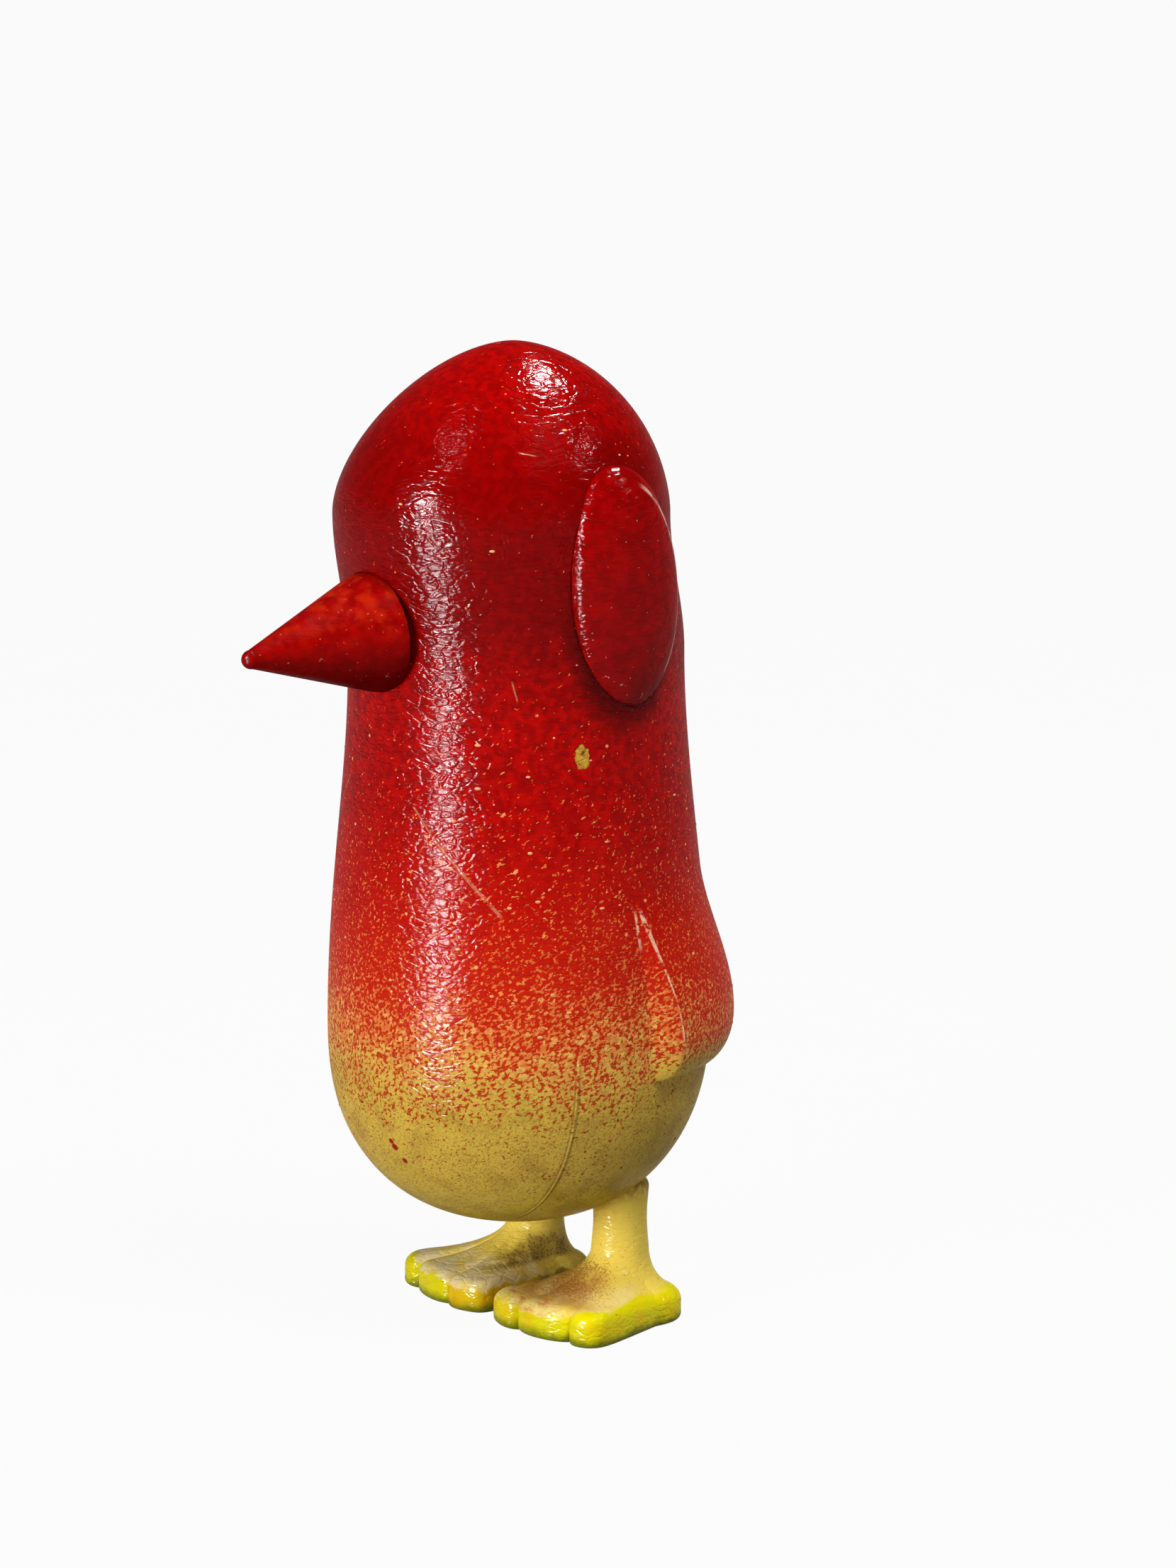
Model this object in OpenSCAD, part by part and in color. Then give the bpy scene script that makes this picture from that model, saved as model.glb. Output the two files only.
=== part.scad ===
// Stubby standing bird figure in painted hollow vinyl.
// The figure faces -Y, its left side is +X, and its soles stand on z = 0.
// The body is two half shells glued at one seam, with moulded wings on the back half.
// The beak and the ear pads are glued plugs. Each leg swivels on a flanged peg in a hip socket.

/* [Body] */
// Gap between the ground and the lowest point of the body
ground_gap = 10.5; // [8:0.1:20]
// Height of the rounded bowl from the lowest point up to the belly
bowl_h = 20.3; // [14:0.1:30]
// Height from the belly up to the neck
torso_h = 38.1; // [28:0.1:60]
// Height from the neck up to the widest part of the head
neck_h = 14.2; // [10:0.1:22]
// Height of the crown above the widest part of the head
crown_h = 16.9; // [12:0.1:24]
// Radius of the belly
belly_r = 19.5; // [16:0.1:26]
// Radius of the neck
neck_r = 17; // [13:0.1:22]
// Radius of the head
head_r = 16.9; // [13:0.1:22]
// Fullness of the bowl: 2 is elliptic, more is boxier
bowl_full = 2.3; // [1.8:0.01:3]
// Fullness of the crown: 2 is elliptic, less is more pointed
crown_full = 1.72; // [1.5:0.01:2.6]
// How far the head leans ahead of the belly
head_lean = 2.15; // [0:0.05:4]
// How far the top of the crown leans ahead of the belly
crown_lean = 0.65; // [0:0.05:3]
// Wall thickness of the half shells
wall = 1.8; // [1.2:0.1:2.6]
// Distance of the glued seam ahead of the body's axis
seam_ahead = 6.5; // [4:0.1:9]

/* [Wings] */
// Height of a wing's root above the belly
wing_rise = 16.5; // [10:0.1:24]
// Depth of a wing's tip below the belly
wing_drop = 3.4; // [1:0.1:6]
// Thickness of a wing at its fullest
wing_t = 2.5; // [1.5:0.1:4]
// Direction of a wing's front edge at the root, turned from the front
wing_front = 91; // [80:0.5:100]
// Turn of both edges toward each other from root to tip
wing_sweep = 6.5; // [0:0.5:15]
// Direction of a wing's rear edge, turned from the front
wing_rear = 158; // [130:0.5:166]
// Width of the bevel along a wing's edges, as an angle at the tip
wing_bevel = 6.5; // [3:0.5:10]

/* [Beak] */
// Height of the beak's root above the neck
beak_rise = 3.4; // [2:0.05:8]
// Radius of the beak at its root
beak_r = 6; // [4:0.1:7.5]
// Length of the beak from the face to its tip
beak_len = 15.8; // [10:0.1:26]
// Radius of the rounded tip
beak_tip_r = 0.95; // [0.5:0.05:2]
// Downward tilt of the beak
beak_droop = 5.5; // [0:0.1:10]
// Rounding of the root's edge
beak_edge_r = 0.5; // [0.3:0.1:0.8]
// How far the root's rim stands out from the face
beak_stand = 0.9; // [0.9:0.1:2]
// Radius of the plug behind the root
beak_plug_r = 4.6; // [3:0.1:5]
// How far the plug reaches past the inside of the wall
beak_plug_past = 1.4; // [0.5:0.1:3]

/* [Ears] */
// Height of an ear's middle above the neck
ear_rise = 8; // [4:0.1:12]
// Distance of an ear's middle behind the head's own axis
ear_back = 2.2; // [-2:0.1:4]
// Half height of an ear
ear_half_h = 12.2; // [8:0.05:16]
// Half width of an ear
ear_half_w = 6.5; // [5:0.05:9]
// Half thickness of an ear
ear_half_t = 3.7; // [3:0.05:6]
// How far an ear stands out from the side of the head
ear_proud = 2.7; // [1:0.1:3.5]
// Tilt of an ear: its top leans forward
ear_tilt = 5.5; // [0:0.5:15]
// Turn of an ear's face toward the rear
ear_turn = 3; // [0:0.5:12]
// Radius of the two pegs behind an ear
ear_peg_r = 1.5; // [1:0.1:2]
// Distance of each peg above or below an ear's middle
ear_peg_gap = 5; // [3:0.1:7]
// How far the pegs reach past the inside of the wall
ear_peg_past = 0.8; // [0.4:0.1:2]

/* [Legs] */
// Distance of a leg's axis from the middle plane
hip_x = 7.2; // [5.5:0.05:9]
// Distance of a leg's axis behind the body's axis
hip_back = 7.6; // [5:0.05:9]
// Radius of a leg under its shoulder
leg_r = 2.95; // [2.2:0.05:3.6]
// Radius of a leg at its waist
leg_waist_r = 2.75; // [2:0.05:3.4]
// Rounding of a leg's shoulder
shoulder_r = 1; // [0.4:0.1:1.4]
// Radius of the hip peg
hip_peg_r = 2.25; // [1.4:0.05:2.4]
// Radius of the flange that holds the hip peg in its boss
hip_flange_r = 2.95; // [2:0.05:3.2]
// Thickness of that flange
hip_flange_t = 1.2; // [0.8:0.1:2]
// Thickness of the hip boss between the socket and the flange
hip_web = 2; // [1.2:0.1:3]
// Wall of the hip boss around the socket
boss_wall = 1.4; // [1:0.1:2]

/* [Feet] */
// Thickness of the toes
toe_h = 3.4; // [2:0.1:4.5]
// Reach of the inner toe from the leg's axis
inner_toe_r = 13.3; // [10:0.1:16]
// Reach of the middle toe from the leg's axis
middle_toe_r = 12.8; // [10:0.1:16]
// Reach of the outer toe from the leg's axis
outer_toe_r = 13.8; // [10:0.1:16]
// Depth of the notches between the toes
toe_notch = 1.05; // [0.6:0.05:2.5]
// Half width of the heel on the outer side
heel_out = 6.4; // [5:0.05:8]
// Half width of the heel on the inner side
heel_in = 4.6; // [3.4:0.05:5]
// Reach of the heel behind the leg's axis
heel_back = 5.4; // [4:0.1:7]
// Height at which the foot's top runs into the leg
ankle_z = 7.2; // [5:0.1:9.5]
// Rounding of the foot's rim
rim_r = 1.4; // [0.8:0.1:1.5]
// Setback of the sole's edge under the rim
sole_back = 0.3; // [0.1:0.1:0.8]

/* [Fits] */
// Radial clearance of a hip peg in its bore
peg_clear = 0.05; // [0.02:0.01:0.1]
// Clearance of a leg's shoulder and flange along and around its socket
socket_clear = 0.15; // [0.1:0.01:0.3]
// Glue gap around the beak, the ears and the ear pegs
glue_gap = 0.06; // [0.03:0.01:0.2]

/* [Hidden] */

$fn = 64;
bottom_z = ground_gap;
belly_z = bottom_z + bowl_h;
neck_z = belly_z + torso_h;
head_z = neck_z + neck_h;
top_z = head_z + crown_h;
beak_z = neck_z + beak_rise;
ear_z = neck_z + ear_rise;
wing_top = belly_z + wing_rise;
wing_low = belly_z - wing_drop;
neck_lean = 0.3;
base_lean = 0.4;
face_y = centre_y(beak_z) - body_r(beak_z);
beak_plug = wall + beak_plug_past;
ear_sunk = ear_half_t - ear_proud;
ear_x = body_r(ear_z) - ear_sunk;
ear_y = centre_y(ear_z) + ear_back;
ear_peg_root = ear_sunk + ear_proud / 2;
ear_peg_len = ear_proud / 2 + wall + ear_peg_past;
hip_far = norm([hip_x, hip_back]) + leg_r;
socket_z = bowl_z(hip_far);
boss_z = socket_z + hip_web;
flange_room = 2 * socket_clear;
boss_r = leg_r + socket_clear + boss_wall;
ahead = body_r(beak_z) - centre_y(beak_z) + beak_len * cos(beak_droop);
axis_y = (ahead - belly_r) / 2;
reach = 4 * top_z;
body_sides = 40;
body_rows = 8;
cavity_sides = 28;
cavity_rows = 6;

// Shares of a wing's length: the run-out at the root and the rounding at the tip
wing_root = 0.75;
wing_tip = 0.24;
// Crowding of the wing's rows toward the tip
wing_crowd = 1.3;

// Each toe: angles of its inner edge, tip and outer edge, turned outward from the front, and its reach
toes = [[-50, -19, -6, inner_toe_r], [-6, 11, 28, middle_toe_r], [28, 41, 70, outer_toe_r]];
notch_r = middle_toe_r - toe_notch;
// Fullness of the toes and of the heel, spread of the foot's sides and tightness of its corners
toe_full = 2.4;
heel_full = 2.6;
side_flare_out = 0.33;
side_flare_in = 0.16;
corner_power = 12;
// Hollowness of the slope from the toes up to the leg: how its steps shrink inward and how it steepens
slope_in = 1.6;
slope_up = 2.4;
// Heights of the leg's flare and waist, as shares of the way up from the ankle
flare_share = 0.15;
waist_share = 0.45;

function mix(a, b, t) = a + (b - a) * t;
function clamp01(t) = max(0, min(1, t));
function ease(t) = let (c = clamp01(t)) c * c * (3 - 2 * c);
function arch(u, full) = pow(max(0, 1 - pow(abs(u), full)), 1 / full);

// Radius of the body at a height, grown on every side by g
function body_r(z, g = 0) =
    z < belly_z ? (belly_r + g) * arch(min(1, (belly_z - z) / (bowl_h + g)), bowl_full)
    : z < neck_z ? mix(belly_r, neck_r, ease((z - belly_z) / torso_h)) + g
    : z < head_z ? mix(neck_r, head_r, ease((z - neck_z) / neck_h)) + g
    : (head_r + g) * arch(min(1, (z - head_z) / (crown_h + g)), crown_full);

// Place of the body's section centre at a height, negative ahead
function centre_y(z) =
    z < belly_z ? -base_lean * ease((belly_z - z) / bowl_h)
    : z < neck_z ? -neck_lean * ease((z - belly_z) / torso_h)
    : z < head_z ? -mix(neck_lean, head_lean, ease((z - neck_z) / neck_h))
    : -mix(head_lean, crown_lean, ease((z - head_z) / crown_h));

// Height of the bowl's skin at a distance from the body's axis
function bowl_z(r) = belly_z - bowl_h * arch(r / belly_r, bowl_full);

// Point at an angle from the front toward the left side, on a section of the body
function around(angle, r, z) = [r * sin(angle), centre_y(z) - r * cos(angle), z];

// Section heights from the lowest ring to the highest, closer together toward both poles
function ring_heights(g, n) = concat(
    [for (i = [1 : n]) belly_z - (bowl_h + g) * pow(cos(90 * i / n), 2 / bowl_full)],
    [for (i = [1 : n]) mix(belly_z, neck_z, i / n)],
    [for (i = [1 : n / 2]) mix(neck_z, head_z, 2 * i / n)],
    [for (i = [1 : n - 1]) head_z + (crown_h + g) * pow(sin(90 * i / n), 2 / crown_full)]);

// Triangles of the skin between stacked rings of m points, closed by a point below and a point above
function skin_faces(rings, m) = concat(
    [for (j = [0 : m - 1]) [0, 1 + j, 1 + (j + 1) % m]],
    [for (i = [0 : rings - 2], j = [0 : m - 1])
        let (a = 1 + i * m + j, b = 1 + i * m + (j + 1) % m) each [[a, a + m, b], [b, a + m, b + m]]],
    [for (j = [0 : m - 1])
        let (last = 1 + (rings - 1) * m) [rings * m + 1, last + (j + 1) % m, last + j]]);

// Loft through round sections of the body, grown on every side by g, from one height to another
module body_form(g, m, n, from = bottom_z, to = top_z) {
    heights = [for (z = ring_heights(from > bottom_z ? 0 : g, n)) if (z > from - g && z < to + g) z];
    low = from > bottom_z ? heights[0] : bottom_z - g;
    high = to < top_z ? heights[len(heights) - 1] : top_z + g;
    polyhedron(
        concat(
            [[0, centre_y(low), low]],
            [for (z = heights, j = [0 : m - 1]) around(360 * j / m, body_r(z, g), z)],
            [[0, centre_y(high), high]]),
        skin_faces(len(heights), m));
}

// Thickness of a wing along its length, from the tip at 0 to the root at 1
function wing_profile(t) = ease((1 - t) / wing_root) * arch(1 - clamp01(t / wing_tip), 2);

// Wing moulded onto the left side: bevelled front and rear edges, blunt tip, root running out into the body
module wing() {
    rows = 12;
    across = 10;
    sunk = wall / 2;
    function row_t(i) = pow(i / rows, wing_crowd);
    function point_at(i, j, outer) =
        let (t = row_t(i),
             z = mix(wing_low, wing_top, t),
             full = wing_profile(t),
             front = wing_front + wing_sweep * (1 - t),
             bevel = wing_bevel * full,
             s = (j - 1) / (across - 2),
             rear = wing_rear - wing_sweep * (1 - t),
             angle = j == 0 ? front - 1 : j == across ? rear + 1 : mix(front + bevel, rear - bevel, s),
             edge = j == 0 || j == across || i == 0 || i == rows,
             r = body_r(z) + (outer ? (edge ? -sunk / 3 : wing_t * full) : -sunk))
        around(angle, r, z);
    m = across + 1;
    skin = (rows + 1) * m;
    points = [for (side = [true, false], i = [0 : rows], j = [0 : across]) point_at(i, j, side)];
    cells = [for (i = [0 : rows - 1], j = [0 : across - 1]) i * m + j];
    rim = concat(
        [for (j = [0 : across - 1]) j], [for (i = [0 : rows - 1]) i * m + across],
        [for (j = [across : -1 : 1]) rows * m + j], [for (i = [rows : -1 : 1]) i * m]);
    polyhedron(points, concat(
        [for (a = cells) each [[a, a + m, a + 1], [a + 1, a + m, a + m + 1]]],
        [for (c = cells) let (a = c + skin) each [[a, a + 1, a + m], [a + 1, a + m + 1, a + m]]],
        [for (k = [0 : len(rim) - 1])
            let (a = rim[k], b = rim[(k + 1) % len(rim)])
            each [[a, b, a + skin], [b, b + skin, a + skin]]]));
}

// Half space behind or ahead of the glued seam
module seam_side(behind) {
    translate([-reach / 2, behind ? -seam_ahead : -seam_ahead - reach, -reach / 2]) cube(reach);
}

module left_and_right() {
    children();
    mirror([1, 0, 0]) children();
}

module on_hip_axis() {
    translate([hip_x, hip_back, 0]) children();
}

module on_beak_axis() {
    translate([0, face_y, beak_z]) rotate([90 + beak_droop, 0, 0]) children();
}

module on_ear() {
    translate([ear_x, ear_y, ear_z]) rotate([ear_tilt, 0, ear_turn]) children();
}

module ear_pegs(gap) {
    for (side = [-1, 1])
        translate([ear_peg_root, 0, side * ear_peg_gap])
            rotate([0, -90, 0]) cylinder(r = ear_peg_r + gap, h = ear_peg_len + gap);
}

// Hollow of the body, with the solid bosses of both hips left standing in it
module cavity() {
    difference() {
        body_form(-wall, cavity_sides, cavity_rows);
        left_and_right() on_hip_axis() cylinder(r = boss_r, h = boss_z);
    }
}

// Socket for a leg's shoulder, bore for its peg and room for its flange
module hip_bores() {
    left_and_right() on_hip_axis() {
        cylinder(r = leg_r + socket_clear, h = socket_z);
        cylinder(r = hip_peg_r + peg_clear, h = boss_z + hip_web);
        translate([0, 0, boss_z])
            cylinder(r = hip_flange_r + flange_room, h = hip_flange_t + 2 * flange_room);
    }
}

// Hole for the beak's plug and flat seat for its rim
module beak_seat() {
    on_beak_axis() {
        translate([0, 0, -reach / 8]) cylinder(r = beak_plug_r + glue_gap, h = reach / 4);
        cylinder(r = beak_r + glue_gap, h = beak_len);
    }
}

module front_shell() {
    color("firebrick") translate([0, axis_y, 0]) difference() {
        intersection() {
            body_form(0, body_sides, body_rows);
            seam_side(false);
        }
        body_form(-wall, cavity_sides, cavity_rows);
        beak_seat();
    }
}

module back_shell() {
    color("firebrick") translate([0, axis_y, 0]) difference() {
        union() {
            intersection() {
                body_form(0, body_sides, body_rows);
                seam_side(true);
            }
            left_and_right() wing();
        }
        cavity();
        hip_bores();
        left_and_right() on_ear() ear_pegs(glue_gap);
    }
}

// Cone with a rounded tip and a rounded rim at its root, on a plug that fills the hole in the face
module beak() {
    tip_z = beak_len - beak_tip_r;
    taper = atan((beak_r - beak_tip_r) / (tip_z - beak_stand));
    color("firebrick") translate([0, axis_y, 0]) on_beak_axis() rotate_extrude()
        polygon(concat(
            [[0, -beak_plug], [beak_plug_r - glue_gap, -beak_plug], [beak_plug_r, glue_gap - beak_plug],
             [beak_plug_r, glue_gap], [beak_r, glue_gap]],
            [for (a = [0 : 15 : 90 - taper])
                [beak_r - beak_edge_r * (1 - cos(a)), beak_stand - beak_edge_r * (1 - sin(a))]],
            [for (a = [taper : 15 : 89]) [beak_tip_r * cos(a), tip_z + beak_tip_r * sin(a)]],
            [[0, beak_len]]));
}

// Oval pad whose back follows the side of the head, on two pegs
module left_ear() {
    color("firebrick") translate([0, axis_y, 0]) {
        difference() {
            on_ear() scale([ear_half_t, ear_half_w, ear_half_h]) sphere(1);
            body_form(glue_gap, body_sides, body_rows, ear_z - 2 * ear_half_h, ear_z + 2 * ear_half_h);
        }
        on_ear() ear_pegs(0);
    }
}

module right_ear() {
    mirror([1, 0, 0]) left_ear();
}

// Reach of the foot's outline from the leg's axis, by angle from the front toward the outside
function toe_reach(a) = max([for (t = toes)
    let (half = a < t[1] ? t[1] - t[0] : t[2] - t[1])
    notch_r + (t[3] - notch_r) * arch(min(1, (a - t[1]) / half), toe_full)]);
function side_reach(a) =
    let (w = a > 0 ? heel_out : heel_in, flare = a > 0 ? side_flare_out : side_flare_in, s = abs(sin(a)))
    s > flare * cos(a) ? w / (s - flare * cos(a)) : reach;
function heel_reach(a) =
    pow(pow(abs(sin(a)) / (a > 0 ? heel_out : heel_in), heel_full) + pow(abs(cos(a)) / heel_back, heel_full),
        -1 / heel_full);
function soft_min(a, b) = pow(pow(a, -corner_power) + pow(b, -corner_power), -1 / corner_power);
function foot_reach(a) = abs(a) > 90 ? heel_reach(a) : soft_min(toe_reach(a), side_reach(a));

// Foot and leg in one loft about the leg's axis: flat sole, round rim, hollow slope, waist and shoulder
module leg_form() {
    angles = concat(
        [for (i = [0 : 10]) mix(-180, toes[0][0], i / 11)],
        [for (t = toes, i = [0 : 7]) mix(t[0], t[2], i / 8)],
        [for (i = [0 : 8]) mix(toes[2][2], 180, i / 9)]);
    leg_top = socket_z - socket_clear;
    rim = [for (a = [-60 : 30 : 90]) [rim_r * (cos(a) - 1), mix(0, toe_h, (1 + sin(a)) / 2)]];
    sole_in = rim[0][0] - sole_back;
    slope = [for (i = [1 : 6]) i / 6];
    stem = concat(
        [[mix(leg_r, leg_waist_r, 0.6), mix(ankle_z, leg_top, flare_share)],
         [leg_waist_r, mix(ankle_z, leg_top, waist_share)]],
        [for (a = [0 : 30 : 90])
            [leg_r - shoulder_r * (1 - cos(a)), leg_top - shoulder_r * (1 - sin(a))]]);
    function spoke(a, r, z) = [r * sin(a), -r * cos(a), z];
    rings = concat(
        [[for (a = angles) spoke(a, foot_reach(a) + sole_in, 0)]],
        [for (p = rim) [for (a = angles) spoke(a, foot_reach(a) + p[0], p[1])]],
        [for (s = slope) [for (a = angles)
            spoke(a, mix(leg_r, foot_reach(a) - rim_r, pow(1 - s, slope_in)),
                mix(toe_h, ankle_z, (s + pow(s, slope_up)) / 2))]],
        [for (p = stem) [for (a = angles) spoke(a, p[0], p[1])]]);
    polyhedron(concat([[0, 0, 0]], [for (r = rings, p = r) p], [[0, 0, leg_top]]),
        skin_faces(len(rings), len(angles)));
}

module left_leg() {
    flange_z = boss_z + socket_clear;
    color("khaki") translate([0, axis_y, 0]) on_hip_axis() {
        leg_form();
        translate([0, 0, ankle_z]) cylinder(r = hip_peg_r, h = flange_z - ankle_z);
        translate([0, 0, flange_z]) cylinder(r1 = hip_flange_r, r2 = hip_peg_r, h = hip_flange_t);
    }
}

module right_leg() {
    mirror([1, 0, 0]) left_leg();
}

front_shell();
back_shell();
beak();
left_ear();
right_ear();
left_leg();
right_leg();
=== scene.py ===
"""Standing bird figure in worn gloss paint: smooth shells, cone beak, ear pads and webbed legs."""
import logging
import math
from dataclasses import dataclass
from enum import Enum
from typing import Any, ClassVar, Sequence

import bmesh
import bpy
import numpy as np
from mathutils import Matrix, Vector


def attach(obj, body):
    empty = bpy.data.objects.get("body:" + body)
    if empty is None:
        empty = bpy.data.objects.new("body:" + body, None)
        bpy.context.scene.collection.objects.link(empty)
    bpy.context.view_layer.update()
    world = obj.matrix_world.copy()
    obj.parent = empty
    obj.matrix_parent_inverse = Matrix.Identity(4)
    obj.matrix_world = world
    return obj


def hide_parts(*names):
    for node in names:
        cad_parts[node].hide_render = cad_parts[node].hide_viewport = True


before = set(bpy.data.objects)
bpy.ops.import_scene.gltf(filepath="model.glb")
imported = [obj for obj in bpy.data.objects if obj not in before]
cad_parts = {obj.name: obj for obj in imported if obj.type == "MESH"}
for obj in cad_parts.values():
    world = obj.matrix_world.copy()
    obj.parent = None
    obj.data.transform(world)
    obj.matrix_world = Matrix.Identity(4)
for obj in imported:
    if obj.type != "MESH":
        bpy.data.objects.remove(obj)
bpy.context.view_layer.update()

LOG = logging.getLogger("bird_figure")
MM = 0.001
Array = np.ndarray
Pair = tuple[float, float]
Triple = tuple[float, float, float]
Quad = tuple[float, float, float, float]
Colour = Quad
Stops = Sequence[tuple[float, Any]]
Solid = bpy.types.Object


class Body(Enum):
    """Rigid bodies of the frame."""

    FIGURE = "figure"
    LEFT_LEG = "left_leg_body"
    RIGHT_LEG = "right_leg_body"


class Slot(Enum):
    """Paint slots of the record."""

    BODY = "body_paint"
    BEAK = "beak_paint"
    EAR = "ear_paint"
    LEG = "leg_paint"


class Side(Enum):
    """Side of the figure, by the sign of x."""

    LEFT = 1
    RIGHT = -1


class Cut(Enum):
    """Ways to combine two solids."""

    TAKE = "DIFFERENCE"
    KEEP = "INTERSECT"
    JOIN = "UNION"


class Reach(Enum):
    """What a lamp shows in."""

    GLOSS = "gloss"
    SHADE = "shade"


def srgb(red: int, green: int, blue: int) -> Colour:
    """Turns a display colour, each part from 0 to 255, into a linear one with full alpha."""
    def line(c: float) -> float:
        """One channel, linear."""
        return c / 12.92 if c <= 0.04045 else ((c + 0.055) / 1.055) ** 2.4
    return (line(red / 255), line(green / 255), line(blue / 255), 1.0)


def mix(a: Any, b: Any, t: Any) -> Any:
    """Straight blend from a to b."""
    return a + (b - a) * t


def mix_colour(a: Colour, b: Colour, t: float) -> Colour:
    """Straight blend of two colours."""
    return tuple(mix(x, y, t) for x, y in zip(a, b))


def ease(t: Any) -> Array:
    """Smooth step from 0 to 1."""
    c = np.clip(t, 0.0, 1.0)
    return c * c * (3.0 - 2.0 * c)


def arch(u: Any, full: float) -> Array:
    """Rounded arch over -1 to 1: 2 is elliptic, more is boxier."""
    return np.maximum(0.0, 1.0 - np.abs(u) ** full) ** (1.0 / full)


def sin_deg(angle: Any) -> Any:
    """Sine of degrees."""
    return np.sin(np.radians(angle))


def cos_deg(angle: Any) -> Any:
    """Cosine of degrees."""
    return np.cos(np.radians(angle))


def spokes(count: int) -> Array:
    """Even angles of a full turn."""
    return np.arange(count) * 360.0 / count


def ring(angle: Any, r: Any, z: Any) -> Array:
    """Points about z, at angles from the front toward the left side."""
    angle = np.asarray(angle, float)
    return np.stack([r * sin_deg(angle), -r * cos_deg(angle), z + 0.0 * angle], -1)


@dataclass(frozen=True)
class BodyForm:
    """Sizes of the body in millimetres, about its own axis."""

    ground_gap: float = 10.5
    bowl_h: float = 20.3
    torso_h: float = 38.1
    neck_h: float = 14.2
    crown_h: float = 16.9
    belly_r: float = 19.5
    neck_r: float = 17.0
    head_r: float = 16.9
    bowl_full: float = 2.3
    crown_full: float = 1.72
    head_lean: float = 2.15
    crown_lean: float = 0.65
    neck_lean: float = 0.3
    base_lean: float = 0.4
    wall: float = 1.8
    seam_ahead: float = 6.5
    PROFILE_POINTS: ClassVar[int] = 1500
    CLOSENESS: ClassVar[float] = 2.4

    @property
    def belly_z(self) -> float:
        """Height of the belly."""
        return self.ground_gap + self.bowl_h

    @property
    def neck_z(self) -> float:
        """Height of the neck."""
        return self.belly_z + self.torso_h

    @property
    def head_z(self) -> float:
        """Height of the widest part of the head."""
        return self.neck_z + self.neck_h

    @property
    def top_z(self) -> float:
        """Height of the crown."""
        return self.head_z + self.crown_h

    def zoned(self, z: Array, bowl: Array, torso: Array, neck: Array, crown: Array) -> Array:
        """Value of the part of the body that each height lies in."""
        upper = np.where(z < self.head_z, neck, crown)
        return np.where(z < self.belly_z, bowl, np.where(z < self.neck_z, torso, upper))

    def radius(self, z: Any, grow: float = 0.0) -> Array:
        """Radius of the body at a height, grown on every side."""
        z = np.asarray(z, float)
        down = np.clip((self.belly_z - z) / (self.bowl_h + grow), 0, 1)
        up = np.clip((z - self.head_z) / (self.crown_h + grow), 0, 1)
        torso = mix(self.belly_r, self.neck_r, ease((z - self.belly_z) / self.torso_h)) + grow
        neck = mix(self.neck_r, self.head_r, ease((z - self.neck_z) / self.neck_h)) + grow
        return self.zoned(z, (self.belly_r + grow) * arch(down, self.bowl_full), torso, neck,
                          (self.head_r + grow) * arch(up, self.crown_full))

    def centre(self, z: Any) -> Array:
        """Place of the section's centre at a height, negative ahead."""
        z = np.asarray(z, float)
        low = -self.base_lean * ease((self.belly_z - z) / self.bowl_h)
        torso = -self.neck_lean * ease((z - self.belly_z) / self.torso_h)
        neck = -mix(self.neck_lean, self.head_lean, ease((z - self.neck_z) / self.neck_h))
        crown = -mix(self.head_lean, self.crown_lean, ease((z - self.head_z) / self.crown_h))
        return self.zoned(z, low, torso, neck, crown)

    def bowl_z(self, r: float) -> float:
        """Height of the bowl's skin at a distance from the axis."""
        return self.belly_z - self.bowl_h * float(arch(r / self.belly_r, self.bowl_full))

    def around(self, angle: Any, r: Any, z: Any) -> Array:
        """Points at angles from the front toward the left side, on sections of the body."""
        points = ring(angle, r, z)
        points[..., 1] += self.centre(z)
        return points

    def closed(self, name: str, rings: Array, grow: float = 0.0) -> Solid:
        """Solid of stacked sections of the body, closed at its lowest and highest point."""
        low, high = self.ground_gap, self.top_z
        return Mould.stacked(name, rings, (0, float(self.centre(low)), low - grow),
                             (0, float(self.centre(high)), high + grow))

    def rows(self, count: int, grow: float = 0.0, focus: float = 0.0, spread: float = 0.0) -> Array:
        """Section heights spaced along the profile, closer together around one height.

        Args:
            count: Number of rows.
            grow: Growth on every side.
            focus: Height with the closest rows.
            spread: Reach of that closeness; zero spaces the rows evenly.

        Returns:
            Heights from the lowest to the highest row, without the poles.
        """
        n = self.PROFILE_POINTS
        turn = np.linspace(0.0, np.pi / 2, n)
        low = self.belly_z - (self.bowl_h + grow) * np.cos(turn) ** (2 / self.bowl_full)
        high = self.head_z + (self.crown_h + grow) * np.sin(turn) ** (2 / self.crown_full)
        z = np.concatenate([low, np.linspace(self.belly_z, self.head_z, n)[1:-1], high])
        r = np.concatenate([(self.belly_r + grow) * np.sin(turn) ** (2 / self.bowl_full),
                            self.radius(z[n:-n], grow),
                            (self.head_r + grow) * np.cos(turn) ** (2 / self.crown_full)])
        weight = 1.0 + (self.CLOSENESS * np.exp(-((z - focus) / spread) ** 2) if spread else 0.0 * z)
        step = np.hypot(np.diff(z), np.diff(r)) * 0.5 * (weight[1:] + weight[:-1])
        along = np.concatenate([[0.0], np.cumsum(step)])
        return np.interp(np.linspace(0, along[-1], count + 2)[1:-1], along, z)


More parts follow.
